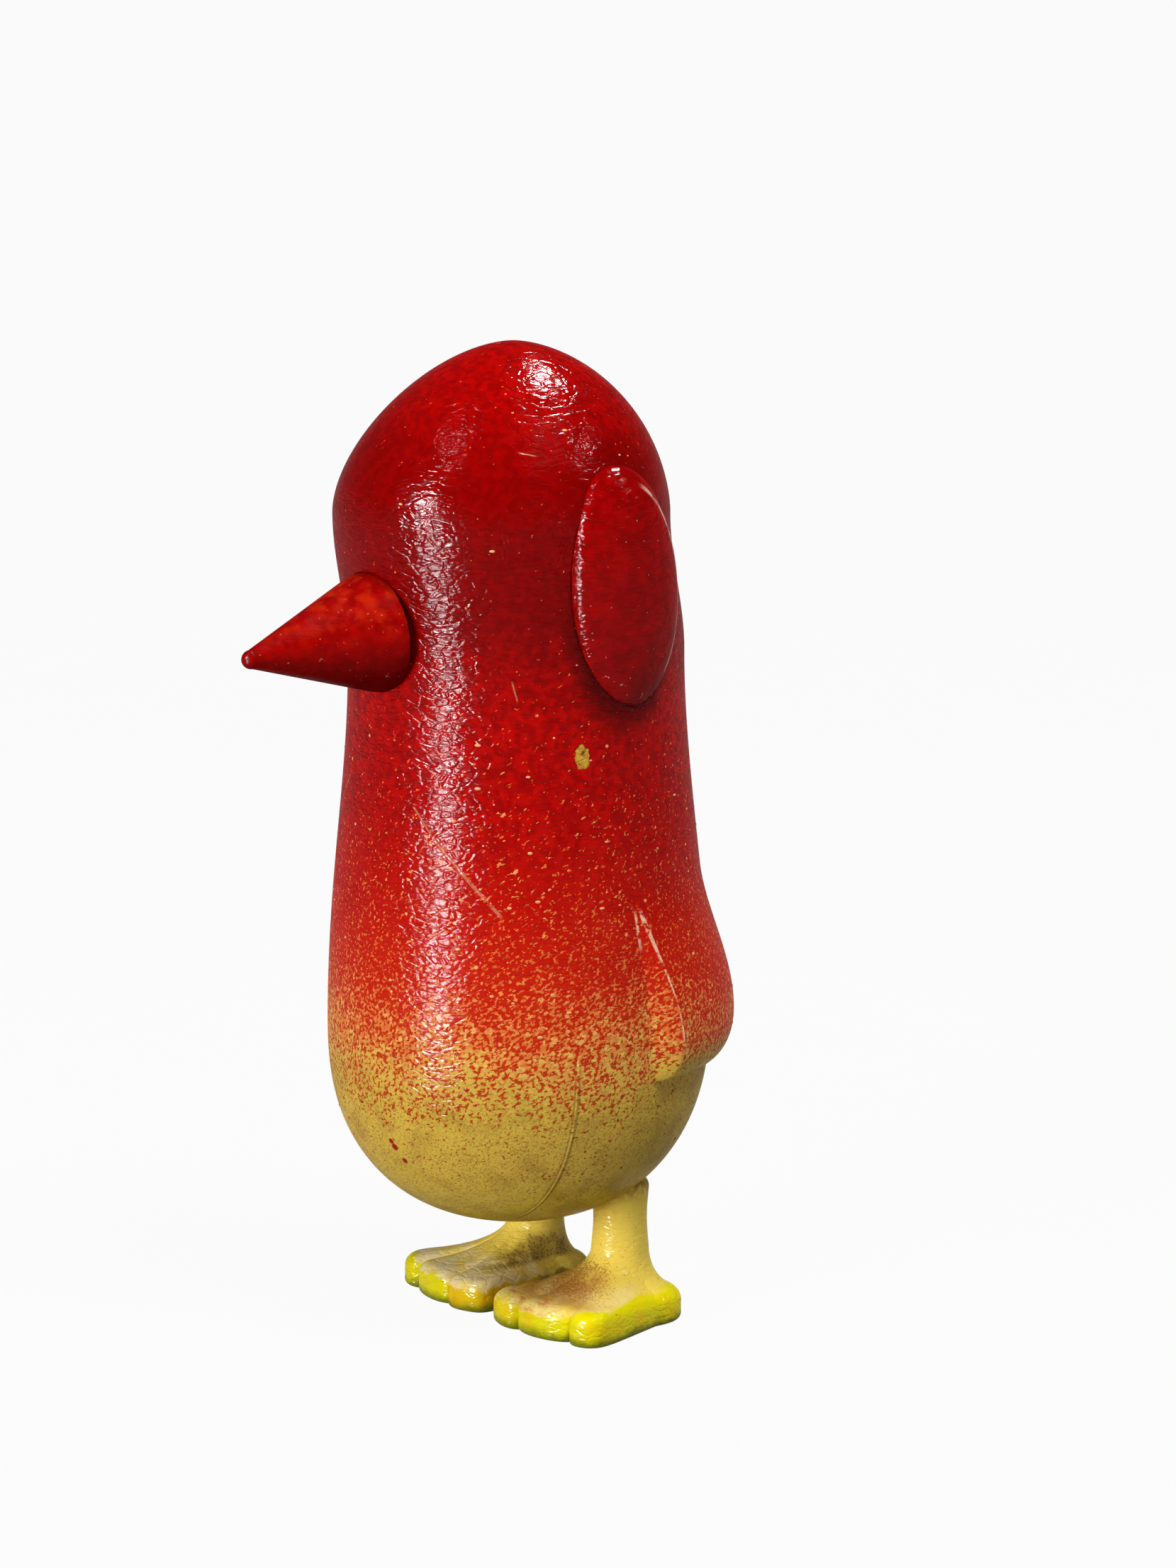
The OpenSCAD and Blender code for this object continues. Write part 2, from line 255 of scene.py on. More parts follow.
@dataclass(frozen=True)
class WingForm:
    """Sizes of the moulded wings, in millimetres and degrees."""

    rise: float = 16.5
    drop: float = 3.4
    thick: float = 2.46
    front: float = 91.0
    sweep: float = 6.5
    rear: float = 158.0
    bevel: float = 6.5
    root: float = 0.75
    tip: float = 0.24
    least_bevel: float = 1.2

    def share(self, z: Any, form: BodyForm) -> Array:
        """Place along the wing, from the tip at 0 to the root at 1."""
        low, high = form.belly_z - self.drop, form.belly_z + self.rise
        return (np.asarray(z, float) - low) / (high - low)

    def full(self, z: Any, form: BodyForm) -> Array:
        """Thickness at a height as a share of the fullest one."""
        t = self.share(z, form)
        body = ease((1.0 - t) / self.root) * arch(1.0 - np.clip(t / self.tip, 0, 1), 2.0)
        return np.where((t > 0) & (t < 1), body, 0.0)

    def lines(self, z: Any, form: BodyForm) -> tuple[Array, Array, Array, Array]:
        """Angles of the front edge, front ridge, rear ridge and rear edge at a height."""
        t = np.clip(self.share(z, form), 0.0, 1.0)
        front = self.front + self.sweep * (1.0 - t)
        rear = self.rear - self.sweep * (1.0 - t)
        bevel = np.maximum(self.bevel * np.sqrt(self.full(z, form)), self.least_bevel)
        return front, front + bevel, rear - bevel, rear

    def height(self, angle: Any, z: Any, form: BodyForm) -> Array:
        """Height of the wing over the body's skin at an angle on either side."""
        front, ridge, rear_ridge, rear = self.lines(z, form)
        a = np.abs(angle)
        edge = np.minimum((a - front) / (ridge - front), (rear - a) / (rear - rear_ridge))
        return self.thick * self.full(z, form) * np.clip(edge, 0.0, 1.0)


@dataclass(frozen=True)
class BeakForm:
    """Sizes of the beak in millimetres and degrees."""

    rise: float = 3.4
    root_r: float = 6.0
    length: float = 15.8
    tip_r: float = 0.95
    droop: float = 5.5
    edge_r: float = 0.5
    stand: float = 0.9
    plug_r: float = 4.6
    plug: float = 3.2
    glue_gap: float = 0.06
    hole: float = 8.0


@dataclass(frozen=True)
class EarForm:
    """Sizes of an ear pad in millimetres and degrees."""

    rise: float = 8.0
    back: float = 2.2
    half_h: float = 12.2
    half_w: float = 6.5
    half_t: float = 3.7
    proud: float = 2.7
    tilt: float = 5.5
    turn: float = 3.0
    peg_r: float = 1.5
    peg_gap: float = 5.0
    peg_past: float = 0.8
    glue_gap: float = 0.06


@dataclass(frozen=True)
class LegForm:
    """Sizes of a leg and its foot in millimetres and degrees.

    Each toe has the angles of its inner edge, tip and outer edge, and its reach.
    """

    hip_x: float = 7.2
    hip_back: float = 7.6
    leg_r: float = 2.95
    waist_r: float = 2.75
    shoulder_r: float = 1.0
    peg_r: float = 2.25
    flange_r: float = 2.95
    flange_t: float = 1.2
    web: float = 2.0
    boss_wall: float = 1.4
    toe_h: float = 3.4
    toes: tuple[Quad, ...] = ((-50, -19, -6, 13.3), (-6, 11, 28, 12.8), (28, 41, 70, 13.8))
    toe_notch: float = 1.05
    toe_full: float = 2.4
    heel_out: float = 6.4
    heel_in: float = 4.6
    heel_back: float = 5.4
    heel_full: float = 2.6
    flare_out: float = 0.33
    flare_in: float = 0.16
    corner_power: float = 12.0
    ankle_z: float = 7.2
    rim_r: float = 1.5
    rim_h: float = 1.4
    rim_arc: float = 74.0
    sole_r: float = 0.6
    groove: float = 0.4
    groove_turn: float = 3.0
    peg_clear: float = 0.05
    socket_clear: float = 0.15
    LEAST_OPEN: ClassVar[float] = 1e-3

    def reach(self, angle: Array) -> Array:
        """Reach of the foot's outline from the leg's axis, by angle from the front toward the outside."""
        a = np.asarray(angle, float)
        notch_r = self.toes[1][3] - self.toe_notch
        toe = np.full(a.shape, notch_r)
        for inner, tip, outer, far in self.toes:
            u = np.clip(np.where(a < tip, (a - tip) / (tip - inner), (a - tip) / (outer - tip)), -1, 1)
            toe = np.maximum(toe, notch_r + (far - notch_r) * arch(u, self.toe_full))
        sine, cosine = np.abs(sin_deg(a)), cos_deg(a)
        width = np.where(a > 0, self.heel_out, self.heel_in)
        open_by = sine - np.where(a > 0, self.flare_out, self.flare_in) * cosine
        side = np.where(open_by > self.LEAST_OPEN, width / np.maximum(open_by, self.LEAST_OPEN),
                        1 / self.LEAST_OPEN)
        p, h = self.corner_power, self.heel_full
        front = (toe ** -p + side ** -p) ** (-1 / p)
        heel = ((sine / width) ** h + (np.abs(cosine) / self.heel_back) ** h) ** (-1 / h)
        return np.where(np.abs(a) > 90, heel, front)


@dataclass(frozen=True)
class Figure:
    """All forms of the figure, and the places that follow from them."""

    body: BodyForm = BodyForm()
    wing: WingForm = WingForm()
    beak: BeakForm = BeakForm()
    ear: EarForm = EarForm()
    leg: LegForm = LegForm()

    @property
    def beak_z(self) -> float:
        """Height of the beak's root."""
        return self.body.neck_z + self.beak.rise

    @property
    def face_y(self) -> float:
        """Place of the face at the beak's root."""
        return float(self.body.centre(self.beak_z) - self.body.radius(self.beak_z))

    @property
    def axis_y(self) -> float:
        """Place of the body's axis in the frame."""
        ahead = self.beak.length * math.cos(math.radians(self.beak.droop)) - self.face_y
        return (ahead - self.body.belly_r) / 2

    @property
    def axis(self) -> Array:
        """Foot of the body's axis in the frame."""
        return np.array([0.0, self.axis_y, 0.0])

    @property
    def socket_z(self) -> float:
        """Height of the top of a hip socket."""
        return self.body.bowl_z(math.hypot(self.leg.hip_x, self.leg.hip_back) + self.leg.leg_r)

    @property
    def boss_z(self) -> float:
        """Height of the top of a hip boss."""
        return self.socket_z + self.leg.web

    @property
    def ear_middle(self) -> Array:
        """Middle of the left ear's oval, about the body's axis."""
        z = self.body.neck_z + self.ear.rise
        out = float(self.body.radius(z)) - (self.ear.half_t - self.ear.proud)
        return np.array([out, float(self.body.centre(z)) + self.ear.back, z])

    def on_skin(self, angle: float, z: float) -> Array:
        """Place in the frame of a point of the body's skin."""
        return self.body.around(angle, float(self.body.radius(z)), z) + self.axis


class Mould:
    """Makes plain meshes and combines solids, all in millimetres about the body's axis."""

    def __init__(self, axis: Array) -> None:
        """Keeps the place of the body's axis in the frame."""
        self.axis = axis

    @staticmethod
    def add(name: str, data: bpy.types.Mesh) -> Solid:
        """Puts a mesh into the scene."""
        made = bpy.data.objects.new(name, data)
        bpy.context.scene.collection.objects.link(made)
        return made

    @staticmethod
    def points(data: bpy.types.Mesh) -> Array:
        """Vertices of a mesh, one row each."""
        flat = np.zeros(len(data.vertices) * 3)
        data.vertices.foreach_get("co", flat)
        return flat.reshape(-1, 3)

    @staticmethod
    def reshape(data: bpy.types.Mesh, points: Array) -> None:
        """Moves the vertices of a mesh to new places."""
        data.vertices.foreach_set("co", np.ravel(points))
        data.update()

    @staticmethod
    def mesh(name: str, points: Array, faces: Sequence[Sequence[int]]) -> Solid:
        """Makes an object from points and faces."""
        data = bpy.data.meshes.new(name)
        data.from_pydata(np.asarray(points, float).reshape(-1, 3).tolist(), [], list(faces))
        data.validate()
        return Mould.add(name, data)

    @staticmethod
    def stacked(name: str, rings: Array, low: Sequence[float], high: Sequence[float]) -> Solid:
        """Skins stacked rings and closes them with a point below and a point above.

        Args:
            name: Name of the object.
            rings: Points by ring and by place around it, from the lowest ring up.
            low: Closing point below.
            high: Closing point above.

        Returns:
            Closed mesh object with faces outward.
        """
        count, around = rings.shape[:2]
        points = np.concatenate([rings.reshape(-1, 3), [low], [high]])
        index = np.arange(count * around).reshape(count, around)
        a, b = index[:-1], np.roll(index[:-1], -1, 1)
        c, d = np.roll(index[1:], -1, 1), index[1:]
        faces = np.stack([a, b, c, d], -1).reshape(-1, 4).tolist()
        first, last, end = index[0], index[-1], count * around
        faces += [[end, int(q), int(p)] for p, q in zip(first, np.roll(first, -1))]
        faces += [[end + 1, int(p), int(q)] for p, q in zip(last, np.roll(last, -1))]
        return Mould.mesh(name, points, faces)

    @staticmethod
    def rod(name: str, r: float, low: float, high: float, sides: int = 64) -> Solid:
        """Upright rod about z."""
        rings = np.array([ring(spokes(sides), r, z) for z in (low, high)])
        return Mould.stacked(name, rings, (0, 0, low), (0, 0, high))

    @staticmethod
    def block(name: str, low: Sequence[float], high: Sequence[float]) -> Solid:
        """Box between two corners."""
        x, y, z = zip(low, high)
        points = [(x[i], y[j], z[k]) for k in (0, 1) for j in (0, 1) for i in (0, 1)]
        faces = [(0, 2, 3, 1), (4, 5, 7, 6), (0, 1, 5, 4), (2, 6, 7, 3), (0, 4, 6, 2), (1, 3, 7, 5)]
        return Mould.mesh(name, np.array(points), faces)

    @staticmethod
    def place(piece: Solid, turn: Sequence[float], move: Sequence[float]) -> Solid:
        """Turns a mesh by degrees about x, then y, then z, and moves it."""
        points = Mould.points(piece.data)
        for degrees, (u, v) in zip(turn, ((1, 2), (2, 0), (0, 1))):
            c, s = cos_deg(degrees), sin_deg(degrees)
            first, second = points[:, u].copy(), points[:, v].copy()
            points[:, u], points[:, v] = c * first - s * second, s * first + c * second
        Mould.reshape(piece.data, points + np.array(move))
        return piece

    @staticmethod
    def mirror(piece: Solid, name: str) -> Solid:
        """Makes the mirror image of a closed mesh across the middle plane."""
        data = piece.data.copy()
        data.name = name
        Mould.reshape(data, Mould.points(data) * (-1, 1, 1))
        data.flip_normals()
        return Mould.add(name, data)

    @staticmethod
    def drop(*pieces: Solid) -> None:
        """Removes helper solids."""
        for piece in pieces:
            data = piece.data
            bpy.data.objects.remove(piece)
            bpy.data.meshes.remove(data)

    @staticmethod
    def combine(base: Solid, how: Cut, *tools: Solid) -> Solid:
        """Combines a solid with others, keeps the result in it and removes the others."""
        for tool in tools:
            step = base.modifiers.new(how.value, "BOOLEAN")
            step.operation, step.solver, step.object = how.value, "MANIFOLD", tool
        base.data = Mould.evaluated(base)
        base.modifiers.clear()
        Mould.drop(*tools)
        return base

    @staticmethod
    def evaluated(piece: Solid) -> bpy.types.Mesh:
        """Plain mesh of a piece with its modifiers applied."""
        bpy.context.view_layer.update()
        graph = bpy.context.evaluated_depsgraph_get()
        return bpy.data.meshes.new_from_object(piece.evaluated_get(graph), preserve_all_data_layers=True,
                                               depsgraph=graph)

    @staticmethod
    def grow(piece: Solid, tree: bpy.types.NodeTree, sizes: dict[str, float]) -> None:
        """Runs a node tree on a piece and keeps the result as its plain mesh.

        Args:
            piece: Piece whose mesh is replaced.
            tree: Tree that makes the new mesh.
            sizes: Values of the tree's named inputs.
        """
        step = piece.modifiers.new(tree.name, "NODES")
        step.node_group = tree
        for socket in tree.interface.items_tree:
            if socket.in_out == "INPUT" and socket.name in sizes:
                step[socket.identifier] = sizes[socket.name]
        piece.data = Mould.evaluated(piece)
        piece.modifiers.clear()

    def finish(self, piece: Solid, name: str, sharp: float) -> None:
        """Moves a solid from millimetres into the frame, names it and smooths its shading.

        Args:
            piece: Solid in millimetres about the body's axis.
            name: Name of the finished piece.
            sharp: Least angle of an edge that stays sharp, in degrees.
        """
        data = piece.data
        piece.name, data.name = name, name
        Mould.reshape(data, (Mould.points(data) + self.axis) * MM)
        data.shade_smooth()
        data.set_sharp_from_angle(angle=math.radians(sharp))
        data.update()

    def local(self, piece: Solid) -> Array:
        """Vertices of a finished piece in millimetres about the body's axis."""
        return Mould.points(piece.data) / MM - self.axis

    @staticmethod
    def mark(piece: Solid, **values: Array) -> None:
        """Stores values for each vertex under their names."""
        for name, given in values.items():
            layer = piece.data.attributes.new(name, "FLOAT", "POINT")
            layer.data.foreach_set("value", np.asarray(given, np.float32))


def dress(piece: Solid, paint: bpy.types.Material, body: Body, slot: Slot, node: str = "") -> None:
    """Paints a finished piece, hangs it on its body and hides the model's node that it stands for.

    Args:
        piece: Finished piece.
        paint: Its material.
        body: Body that carries it.
        slot: Paint slot of the record; not used.
        node: Node that it stands for, if any.
    """
    piece.data.materials.clear()
    piece.data.materials.append(paint)
    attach(piece, body.value)
    if node:
        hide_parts(node)
    LOG.info("%s: %d faces on %s", piece.name, len(piece.data.polygons), body.value)


@dataclass(frozen=True)
class Patches:
    """Soft patches: noise by its cells per millimetre, octaves and roughness, cut between two levels."""

    scale: float
    detail: float
    low: float
    high: float
    rough: float = 0.5


class Flow:
    """Number, place or colour on its way through a node tree; sums on it add nodes to the tree."""

    def __init__(self, desk: "Desk", socket: bpy.types.NodeSocket) -> None:
        """Keeps the tree's desk and the socket that gives the value."""
        self.desk, self.socket = desk, socket

    def __add__(self, other: Any) -> "Flow":
        """Sum of two numbers."""
        return self.desk.math("ADD", self, other)

    def __sub__(self, other: Any) -> "Flow":
        """Difference of two numbers."""
        return self.desk.math("SUBTRACT", self, other)

    def __mul__(self, other: Any) -> "Flow":
        """Product of two numbers."""
        return self.desk.math("MULTIPLY", self, other)

    def __abs__(self) -> "Flow":
        """Number without its sign."""
        return self.desk.math("ABSOLUTE", self)

    def most(self, other: Any) -> "Flow":
        """Greater of two numbers."""
        return self.desk.math("MAXIMUM", self, other)

    def above(self, other: Any) -> "Flow":
        """1 where the number is greater than another, else 0."""
        return self.desk.math("GREATER_THAN", self, other)

    def below(self, other: Any) -> "Flow":
        """1 where the number is less than another, else 0."""
        return self.desk.math("LESS_THAN", self, other)

    def step(self, low: Any, high: Any, start: float = 0.0, end: float = 1.0) -> "Flow":
        """Smooth step between two levels of the number, from start to end."""
        inputs = {"Value": self, "From Min": low, "From Max": high, "To Min": start, "To Max": end}
        return self.desk.make("ShaderNodeMapRange", inputs, interpolation_type="SMOOTHSTEP")

    def band(self, rise: Pair, fall: Pair) -> "Flow":
        """Band of the number: a smooth step up, and another one down."""
        return self.step(*rise) * self.step(*fall)

    def ramp(self, stops: Stops, low: float = 0.0, high: float = 100.0) -> "Flow":
        """Colour by the number.

        Args:
            stops: Values in rising order, each with its colour or grey level.
            low: Value at the ramp's start.
            high: Value at the ramp's end.

        Returns:
            The colour.
        """
        share = self.desk.make("ShaderNodeMapRange", {"Value": self, "From Min": low, "From Max": high})
        node = self.desk.put("ShaderNodeValToRGB", {"Fac": share})
        marks = node.color_ramp.elements
        while len(marks) < len(stops):
            marks.new(1.0)
        for mark, (at, colour) in zip(marks, stops):
            mark.position = (at - low) / (high - low)
            mark.color = colour if isinstance(colour, tuple) else (colour, colour, colour, 1.0)
        return Flow(self.desk, node.outputs["Color"])

    def part(self, axis: str) -> "Flow":
        """One coordinate of the place."""
        return self.desk.make("ShaderNodeSeparateXYZ", {0: self}, axis)

    def off(self, place: Sequence[float]) -> "Flow":
        """Place measured from another one."""
        return self.desk.vector("SUBTRACT", self, tuple(place))

    def along(self, direction: Sequence[float]) -> "Flow":
        """Reach of the place along a direction."""
        return self.desk.vector("DOT_PRODUCT", self, tuple(direction))

    def length(self) -> "Flow":
        """Distance of the place."""
        return self.desk.vector("LENGTH", self)


class Desk:
    """Adds and links the nodes of one tree."""

    def __init__(self, tree: bpy.types.NodeTree) -> None:
        """Keeps the tree and empties it."""
        self.tree = tree
        tree.nodes.clear()

    @classmethod
    def paint(cls, name: str) -> tuple[bpy.types.Material, "Desk"]:
        """New material without nodes, and the desk of its tree."""
        material = bpy.data.materials.new(name)
        material.use_nodes = True
        return material, cls(material.node_tree)

    @classmethod
    def geometry(cls, name: str, inputs: dict[str, str]) -> tuple["Desk", dict[str, Flow]]:
        """New geometry tree.

        Args:
            name: Name of the tree.
            inputs: Kind of each named input, such as Float or Int.

        Returns:
            Desk of the tree, and its inputs by name.
        """
        tree = bpy.data.node_groups.new(name, "GeometryNodeTree")
        desk = cls(tree)
        tree.interface.new_socket("Geometry", in_out="OUTPUT", socket_type="NodeSocketGeometry")
        for label, kind in inputs.items():
            tree.interface.new_socket(label, in_out="INPUT", socket_type="NodeSocket" + kind)
        given = desk.put("NodeGroupInput").outputs
        return desk, {label: Flow(desk, given[label]) for label in inputs}

    def close(self, shape: Flow, paint: bpy.types.Material) -> bpy.types.NodeTree:
        """Ends a geometry tree in a plain painted mesh."""
        plain = self.make("GeometryNodeRealizeInstances", {0: shape})
        self.put("NodeGroupOutput", {0: self.make("GeometryNodeSetMaterial",
                                                  {"Geometry": plain, "Material": paint})})
        return self.tree

    def feed(self, socket: bpy.types.NodeSocket, value: Any) -> None:
        """Links a socket to a flow, or sets its value."""
        if isinstance(value, Flow):
            self.tree.links.new(value.socket, socket)
        else:
            socket.default_value = value

    def put(self, kind: str, inputs: dict[Any, Any] | None = None, **settings: Any) -> bpy.types.Node:
        """Adds a node.

        Args:
            kind: Type of the node.
            inputs: Values or flows by input name or number.
            settings: Settings of the node.

        Returns:
            The node.
        """
        node = self.tree.nodes.new(kind)
        for name, value in settings.items():
            setattr(node, name, value)
        for name, value in (inputs or {}).items():
            self.feed(node.inputs[name], value)
        return node

    def make(self, kind: str, inputs: dict[Any, Any] | None = None, output: Any = 0,
             **settings: Any) -> Flow:
        """Adds a node as put does, and gives one of its outputs."""
        return Flow(self, self.put(kind, inputs, **settings).outputs[output])

    def math(self, how: str, *values: Any, clamp: bool = False) -> Flow:
        """Result of a sum on numbers."""
        return self.make("ShaderNodeMath", dict(enumerate(values)), operation=how, use_clamp=clamp)

    def vector(self, how: str, a: Any, b: Any = (0.0, 0.0, 0.0)) -> Flow:
        """Result of a sum on vectors; lengths and products come out as numbers."""
        output = "Value" if how in ("DOT_PRODUCT", "LENGTH") else "Vector"
        second = 3 if how == "SCALE" else 1
        return self.make("ShaderNodeVectorMath", {0: a, second: b}, output, operation=how)

    def noise(self, where: Flow, scale: float, detail: float = 2.0, rough: float = 0.5,
              twist: float = 0.0) -> Flow:
        """Soft noise from 0 to 1."""
        return self.make("ShaderNodeTexNoise", {"Vector": where, "Scale": scale, "Detail": detail,
                                                "Roughness": rough, "Distortion": twist}, "Fac")

    def patches(self, where: Flow, kind: Patches, start: float = 0.0, end: float = 1.0) -> Flow:
        """Soft patches of a kind."""
        return self.noise(where, kind.scale, kind.detail, kind.rough).step(kind.low, kind.high, start, end)

    def blend(self, share: Any, a: Any, b: Any) -> Flow:
        """Blend of two colours."""
        return self.make("ShaderNodeMix", {0: share, 6: a, 7: b}, 2, data_type="RGBA")

    def values_of(self, *names: str) -> list[Flow]:
        """Numbers that the mesh stores under names."""
        return [self.make("ShaderNodeAttribute", None, "Fac", attribute_name=name) for name in names]

    def bump(self, height: Flow, depth: float, base: Flow | None = None) -> Flow:
        """Normal of a relief whose height runs from 0 to 1 over a depth in metres."""
        under = {} if base is None else {"Normal": base}
        return self.make("ShaderNodeBump", {"Height": height, "Strength": 1.0, "Distance": depth, **under})

    def mapped(self, where: Flow, turn: Triple, scale: Triple) -> Flow:
        """Place that is scaled and turned."""
        return self.make("ShaderNodeMapping", {"Vector": where, "Rotation": turn, "Scale": scale})

    def stretched(self, where: Flow, toward: Triple, times: float) -> Flow:
        """Place squeezed along a direction of length one, so that a pattern runs longer there."""
        shift = self.vector("SCALE", toward, where.along(toward) * (1.0 - 1.0 / times))
        return self.vector("SUBTRACT", where, shift)

    def millimetres(self) -> Flow:
        """Object coordinates in millimetres."""
        return self.vector("SCALE", self.make("ShaderNodeTexCoord", None, "Object"), 1.0 / MM)


@dataclass(frozen=True)
class Gloss:
    """Thin lacquer: roughness range, weight of the coat, and depth of its wrinkles and waves in metres."""

    smooth: float = 0.07
    rough: float = 0.17
    coat: float = 0.12
    peel: float = 0.00011
    wave: float = 0.00015
    WAVES: ClassVar[Pair] = (0.16, 2.0)
    TURN: ClassVar[Triple] = (0.12, 0.2, 0.0)
    FLATTEN: ClassVar[Triple] = (0.42, 0.42, 1.0)
    WRINKLES: ClassVar[Quad] = (2.6, 1.5, 0.5, 0.6)
    CRACKS: ClassVar[float] = 1.5
    CRACK_WIDTH: ClassVar[float] = 0.16
    CRACK_DEPTH: ClassVar[float] = 0.34
    DULL: ClassVar[Patches] = Patches(0.55, 3.0, 0.3, 0.7)
    COAT_IOR: ClassVar[float] = 1.5

    def close(self, desk: Desk, where: Flow, colour: Flow, relief: Flow | None, peel: Any) -> None:
        """Ends a paint in a shader with an uneven, finely wrinkled gloss.

        Args:
            desk: Desk of the paint.
            where: Place on the surface in millimetres.
            colour: Its colour.
            relief: Normal of larger relief, if any.
            peel: Share of the wrinkles at each place.
        """
        skin = desk.bump(desk.noise(where, *self.WAVES), self.wave, relief)
        flat = desk.mapped(where, self.TURN, self.FLATTEN)
        crack = desk.make("ShaderNodeTexVoronoi", {"Vector": flat, "Scale": self.CRACKS}, "Distance",
                          feature="DISTANCE_TO_EDGE").step(0.0, self.CRACK_WIDTH)
        wrinkle = (crack * self.CRACK_DEPTH + desk.noise(flat, *self.WRINKLES)) * peel
        skin = desk.bump(wrinkle, self.peel, skin)
        roughness = desk.patches(where, self.DULL, self.smooth, self.rough)
        shader = desk.make("ShaderNodeBsdfPrincipled", {
            "Base Color": colour, "Roughness": roughness, "Specular IOR Level": 0.0, "Normal": skin,
            "Coat Weight": self.coat, "Coat Roughness": roughness, "Coat IOR": self.COAT_IOR,
            "Coat Normal": skin})
        desk.put("ShaderNodeOutputMaterial", {"Surface": shader})


Coats = tuple[Flow, Flow | None, Any]


@dataclass(frozen=True)
class Paint:
    """Finish of painted pieces: colour, relief and wrinkles by place, under a gloss."""

    name: str
    gloss: Gloss

    def coats(self, desk: Desk, where: Flow, figure: Figure) -> Coats:
        """Colour, relief if any, and share of the wrinkles at a place in millimetres."""
        raise NotImplementedError

    def material(self, figure: Figure) -> bpy.types.Material:
        """Builds the finish for a figure."""
        material, desk = Desk.paint(self.name)
        where = desk.millimetres()
        self.gloss.close(desk, where, *self.coats(desk, where, figure))
        return material


@dataclass(frozen=True)
class BodyPaint(Paint):
    """Red overspray on cream, thinning out downward, with flecks, worn lines partly painted as highlight, a
    chip, scratches and the seam; painted shade under the ears and painted light on the crown.

    Ramps run over heights in millimetres. Marks have an angle from the front, a height and a half width.
    """

    name: str = "body_paint"
    gloss: Gloss = Gloss()
    red: Colour = srgb(182, 3, 1)
    deep_red: Colour = srgb(140, 1, 1)
    dark_red: Colour = srgb(112, 0, 0)
    warm_red: Colour = srgb(196, 30, 8)
    rust: Colour = srgb(184, 62, 18)
    brown: Colour = srgb(112, 66, 26)
    speck: Colour = srgb(232, 150, 84)
    cream: Colour = srgb(228, 184, 88)
    khaki: Colour = srgb(215, 179, 70)
    olive: Colour = srgb(200, 170, 58)
    orange: Colour = srgb(218, 104, 44)
    ember: Colour = srgb(222, 114, 52)
    # shade: colour of the painted shade under the ears.
    shade: Colour = srgb(58, 0, 0)
    spill: Colour = srgb(150, 24, 8)
    # bare: colour of the wing's pale lines, partly worn paint, partly painted highlight.
    bare: Colour = srgb(238, 200, 165)
    tan: Colour = srgb(212, 118, 88)
    chip: Colour = srgb(200, 152, 52)
    SLANT: ClassVar[Triple] = (0.515, 0.696, 0.5)
    GRAIN_LENGTH: ClassVar[float] = 1.5
    COARSE_GRAIN: ClassVar[Quad] = (3.2, 3.0, 0.55, 0.2)
    SMALL_GRAIN: ClassVar[Quad] = (4.2, 2.5, 0.5, 0.2)
    GRAIN_EDGE: ClassVar[Pair] = (-0.024, 0.012)
    COVER: ClassVar[Stops] = (
        (12, 0.29), (16, 0.33), (20, 0.375), (24, 0.42), (27, 0.455), (30, 0.468), (33, 0.488),
        (36, 0.532), (40, 0.585), (44, 0.618), (50, 0.655), (58, 0.71), (75, 0.78))
    PEEL: ClassVar[Stops] = ((20, 0.3), (40, 1.0), (80, 1.0), (86, 0.4), (90, 0.4), (94, 0.75))
    DRIFTS: ClassVar[tuple[Pair, ...]] = ((0.13, 8.0), (0.55, 5.0), (1.7, 6.0))
    TIP_DROP: ClassVar[float] = 5.5
    UNDER_DROP: ClassVar[float] = 5.0
    WING_RISE: ClassVar[float] = 1.5
    RIPE: ClassVar[Patches] = Patches(1.5, 2.0, 0.34, 0.56)
    MOTTLE: ClassVar[Patches] = Patches(1.1, 3.0, 0.36, 0.62)
    CLOUD: ClassVar[Patches] = Patches(0.3, 4.0, 0.42, 0.7)
    DUST: ClassVar[Patches] = Patches(4.6, 2.0, 0.5, 0.6, 0.6)
    SCRIBBLED: ClassVar[Patches] = Patches(0.5, 2.0, 0.42, 0.6)
    BROKEN: ClassVar[Patches] = Patches(1.6, 3.0, 0.38, 0.54)
    FLECK_TONE: ClassVar[Patches] = Patches(0.8, 2.0, 0.4, 0.6)
    FLECK_RARITY: ClassVar[Stops] = ((40, 0.64), (52, 0.655), (62, 0.69), (85, 0.73))
    SPOTS: ClassVar[float] = 0.8
    SPOT_RARITY: ClassVar[Stops] = ((20, 0.97), (25, 0.93), (31, 0.9), (36, 0.86), (44, 0.9), (54, 0.96),
                                    (90, 0.985))
    SCRATCHES: ClassVar[tuple[tuple[Pair, Pair, float], ...]] = (
        ((26, 52.6), (49, 45.0), 0.24), ((18, 55.6), (26, 52.6), 0.14), ((52, 68.5), (54, 66.2), 0.12),
        ((58, 90.6), (66, 90.2), 0.09), ((-40, 50.0), (-18, 57.0), 0.1), ((150, 62.0), (172, 55.0), 0.13),
        ((-120, 70.0), (-96, 63.0), 0.12), ((205, 84.0), (222, 79.0), 0.1))
    SCRATCHED: ClassVar[Patches] = Patches(1.3, 3.0, 0.3, 0.5)
    SCRATCH_FADE: ClassVar[float] = 0.6
    SPILLS: ClassVar[tuple[Triple, ...]] = ((9.5, 20.5, 0.52), (8.6, 21.1, 0.4), (12.0, 19.1, 0.42))
    CHIP_PLACE: ClassVar[Pair] = (75.5, 60.6)
    CHIP_TURN: ClassVar[Triple] = (0.2, 0.0, 0.0)
    CHIP_SHAPE: ClassVar[Triple] = (0.8, 1.35, 0.8)
    CHIP_DIRT: ClassVar[Patches] = Patches(1.4, 3.0, 0.45, 0.75)
    THUMB_PLACE: ClassVar[Pair] = (63.0, 82.8)
    THUMB_RIDGE: ClassVar[float] = 0.55
    MARK_DEPTH: ClassVar[float] = 0.00012

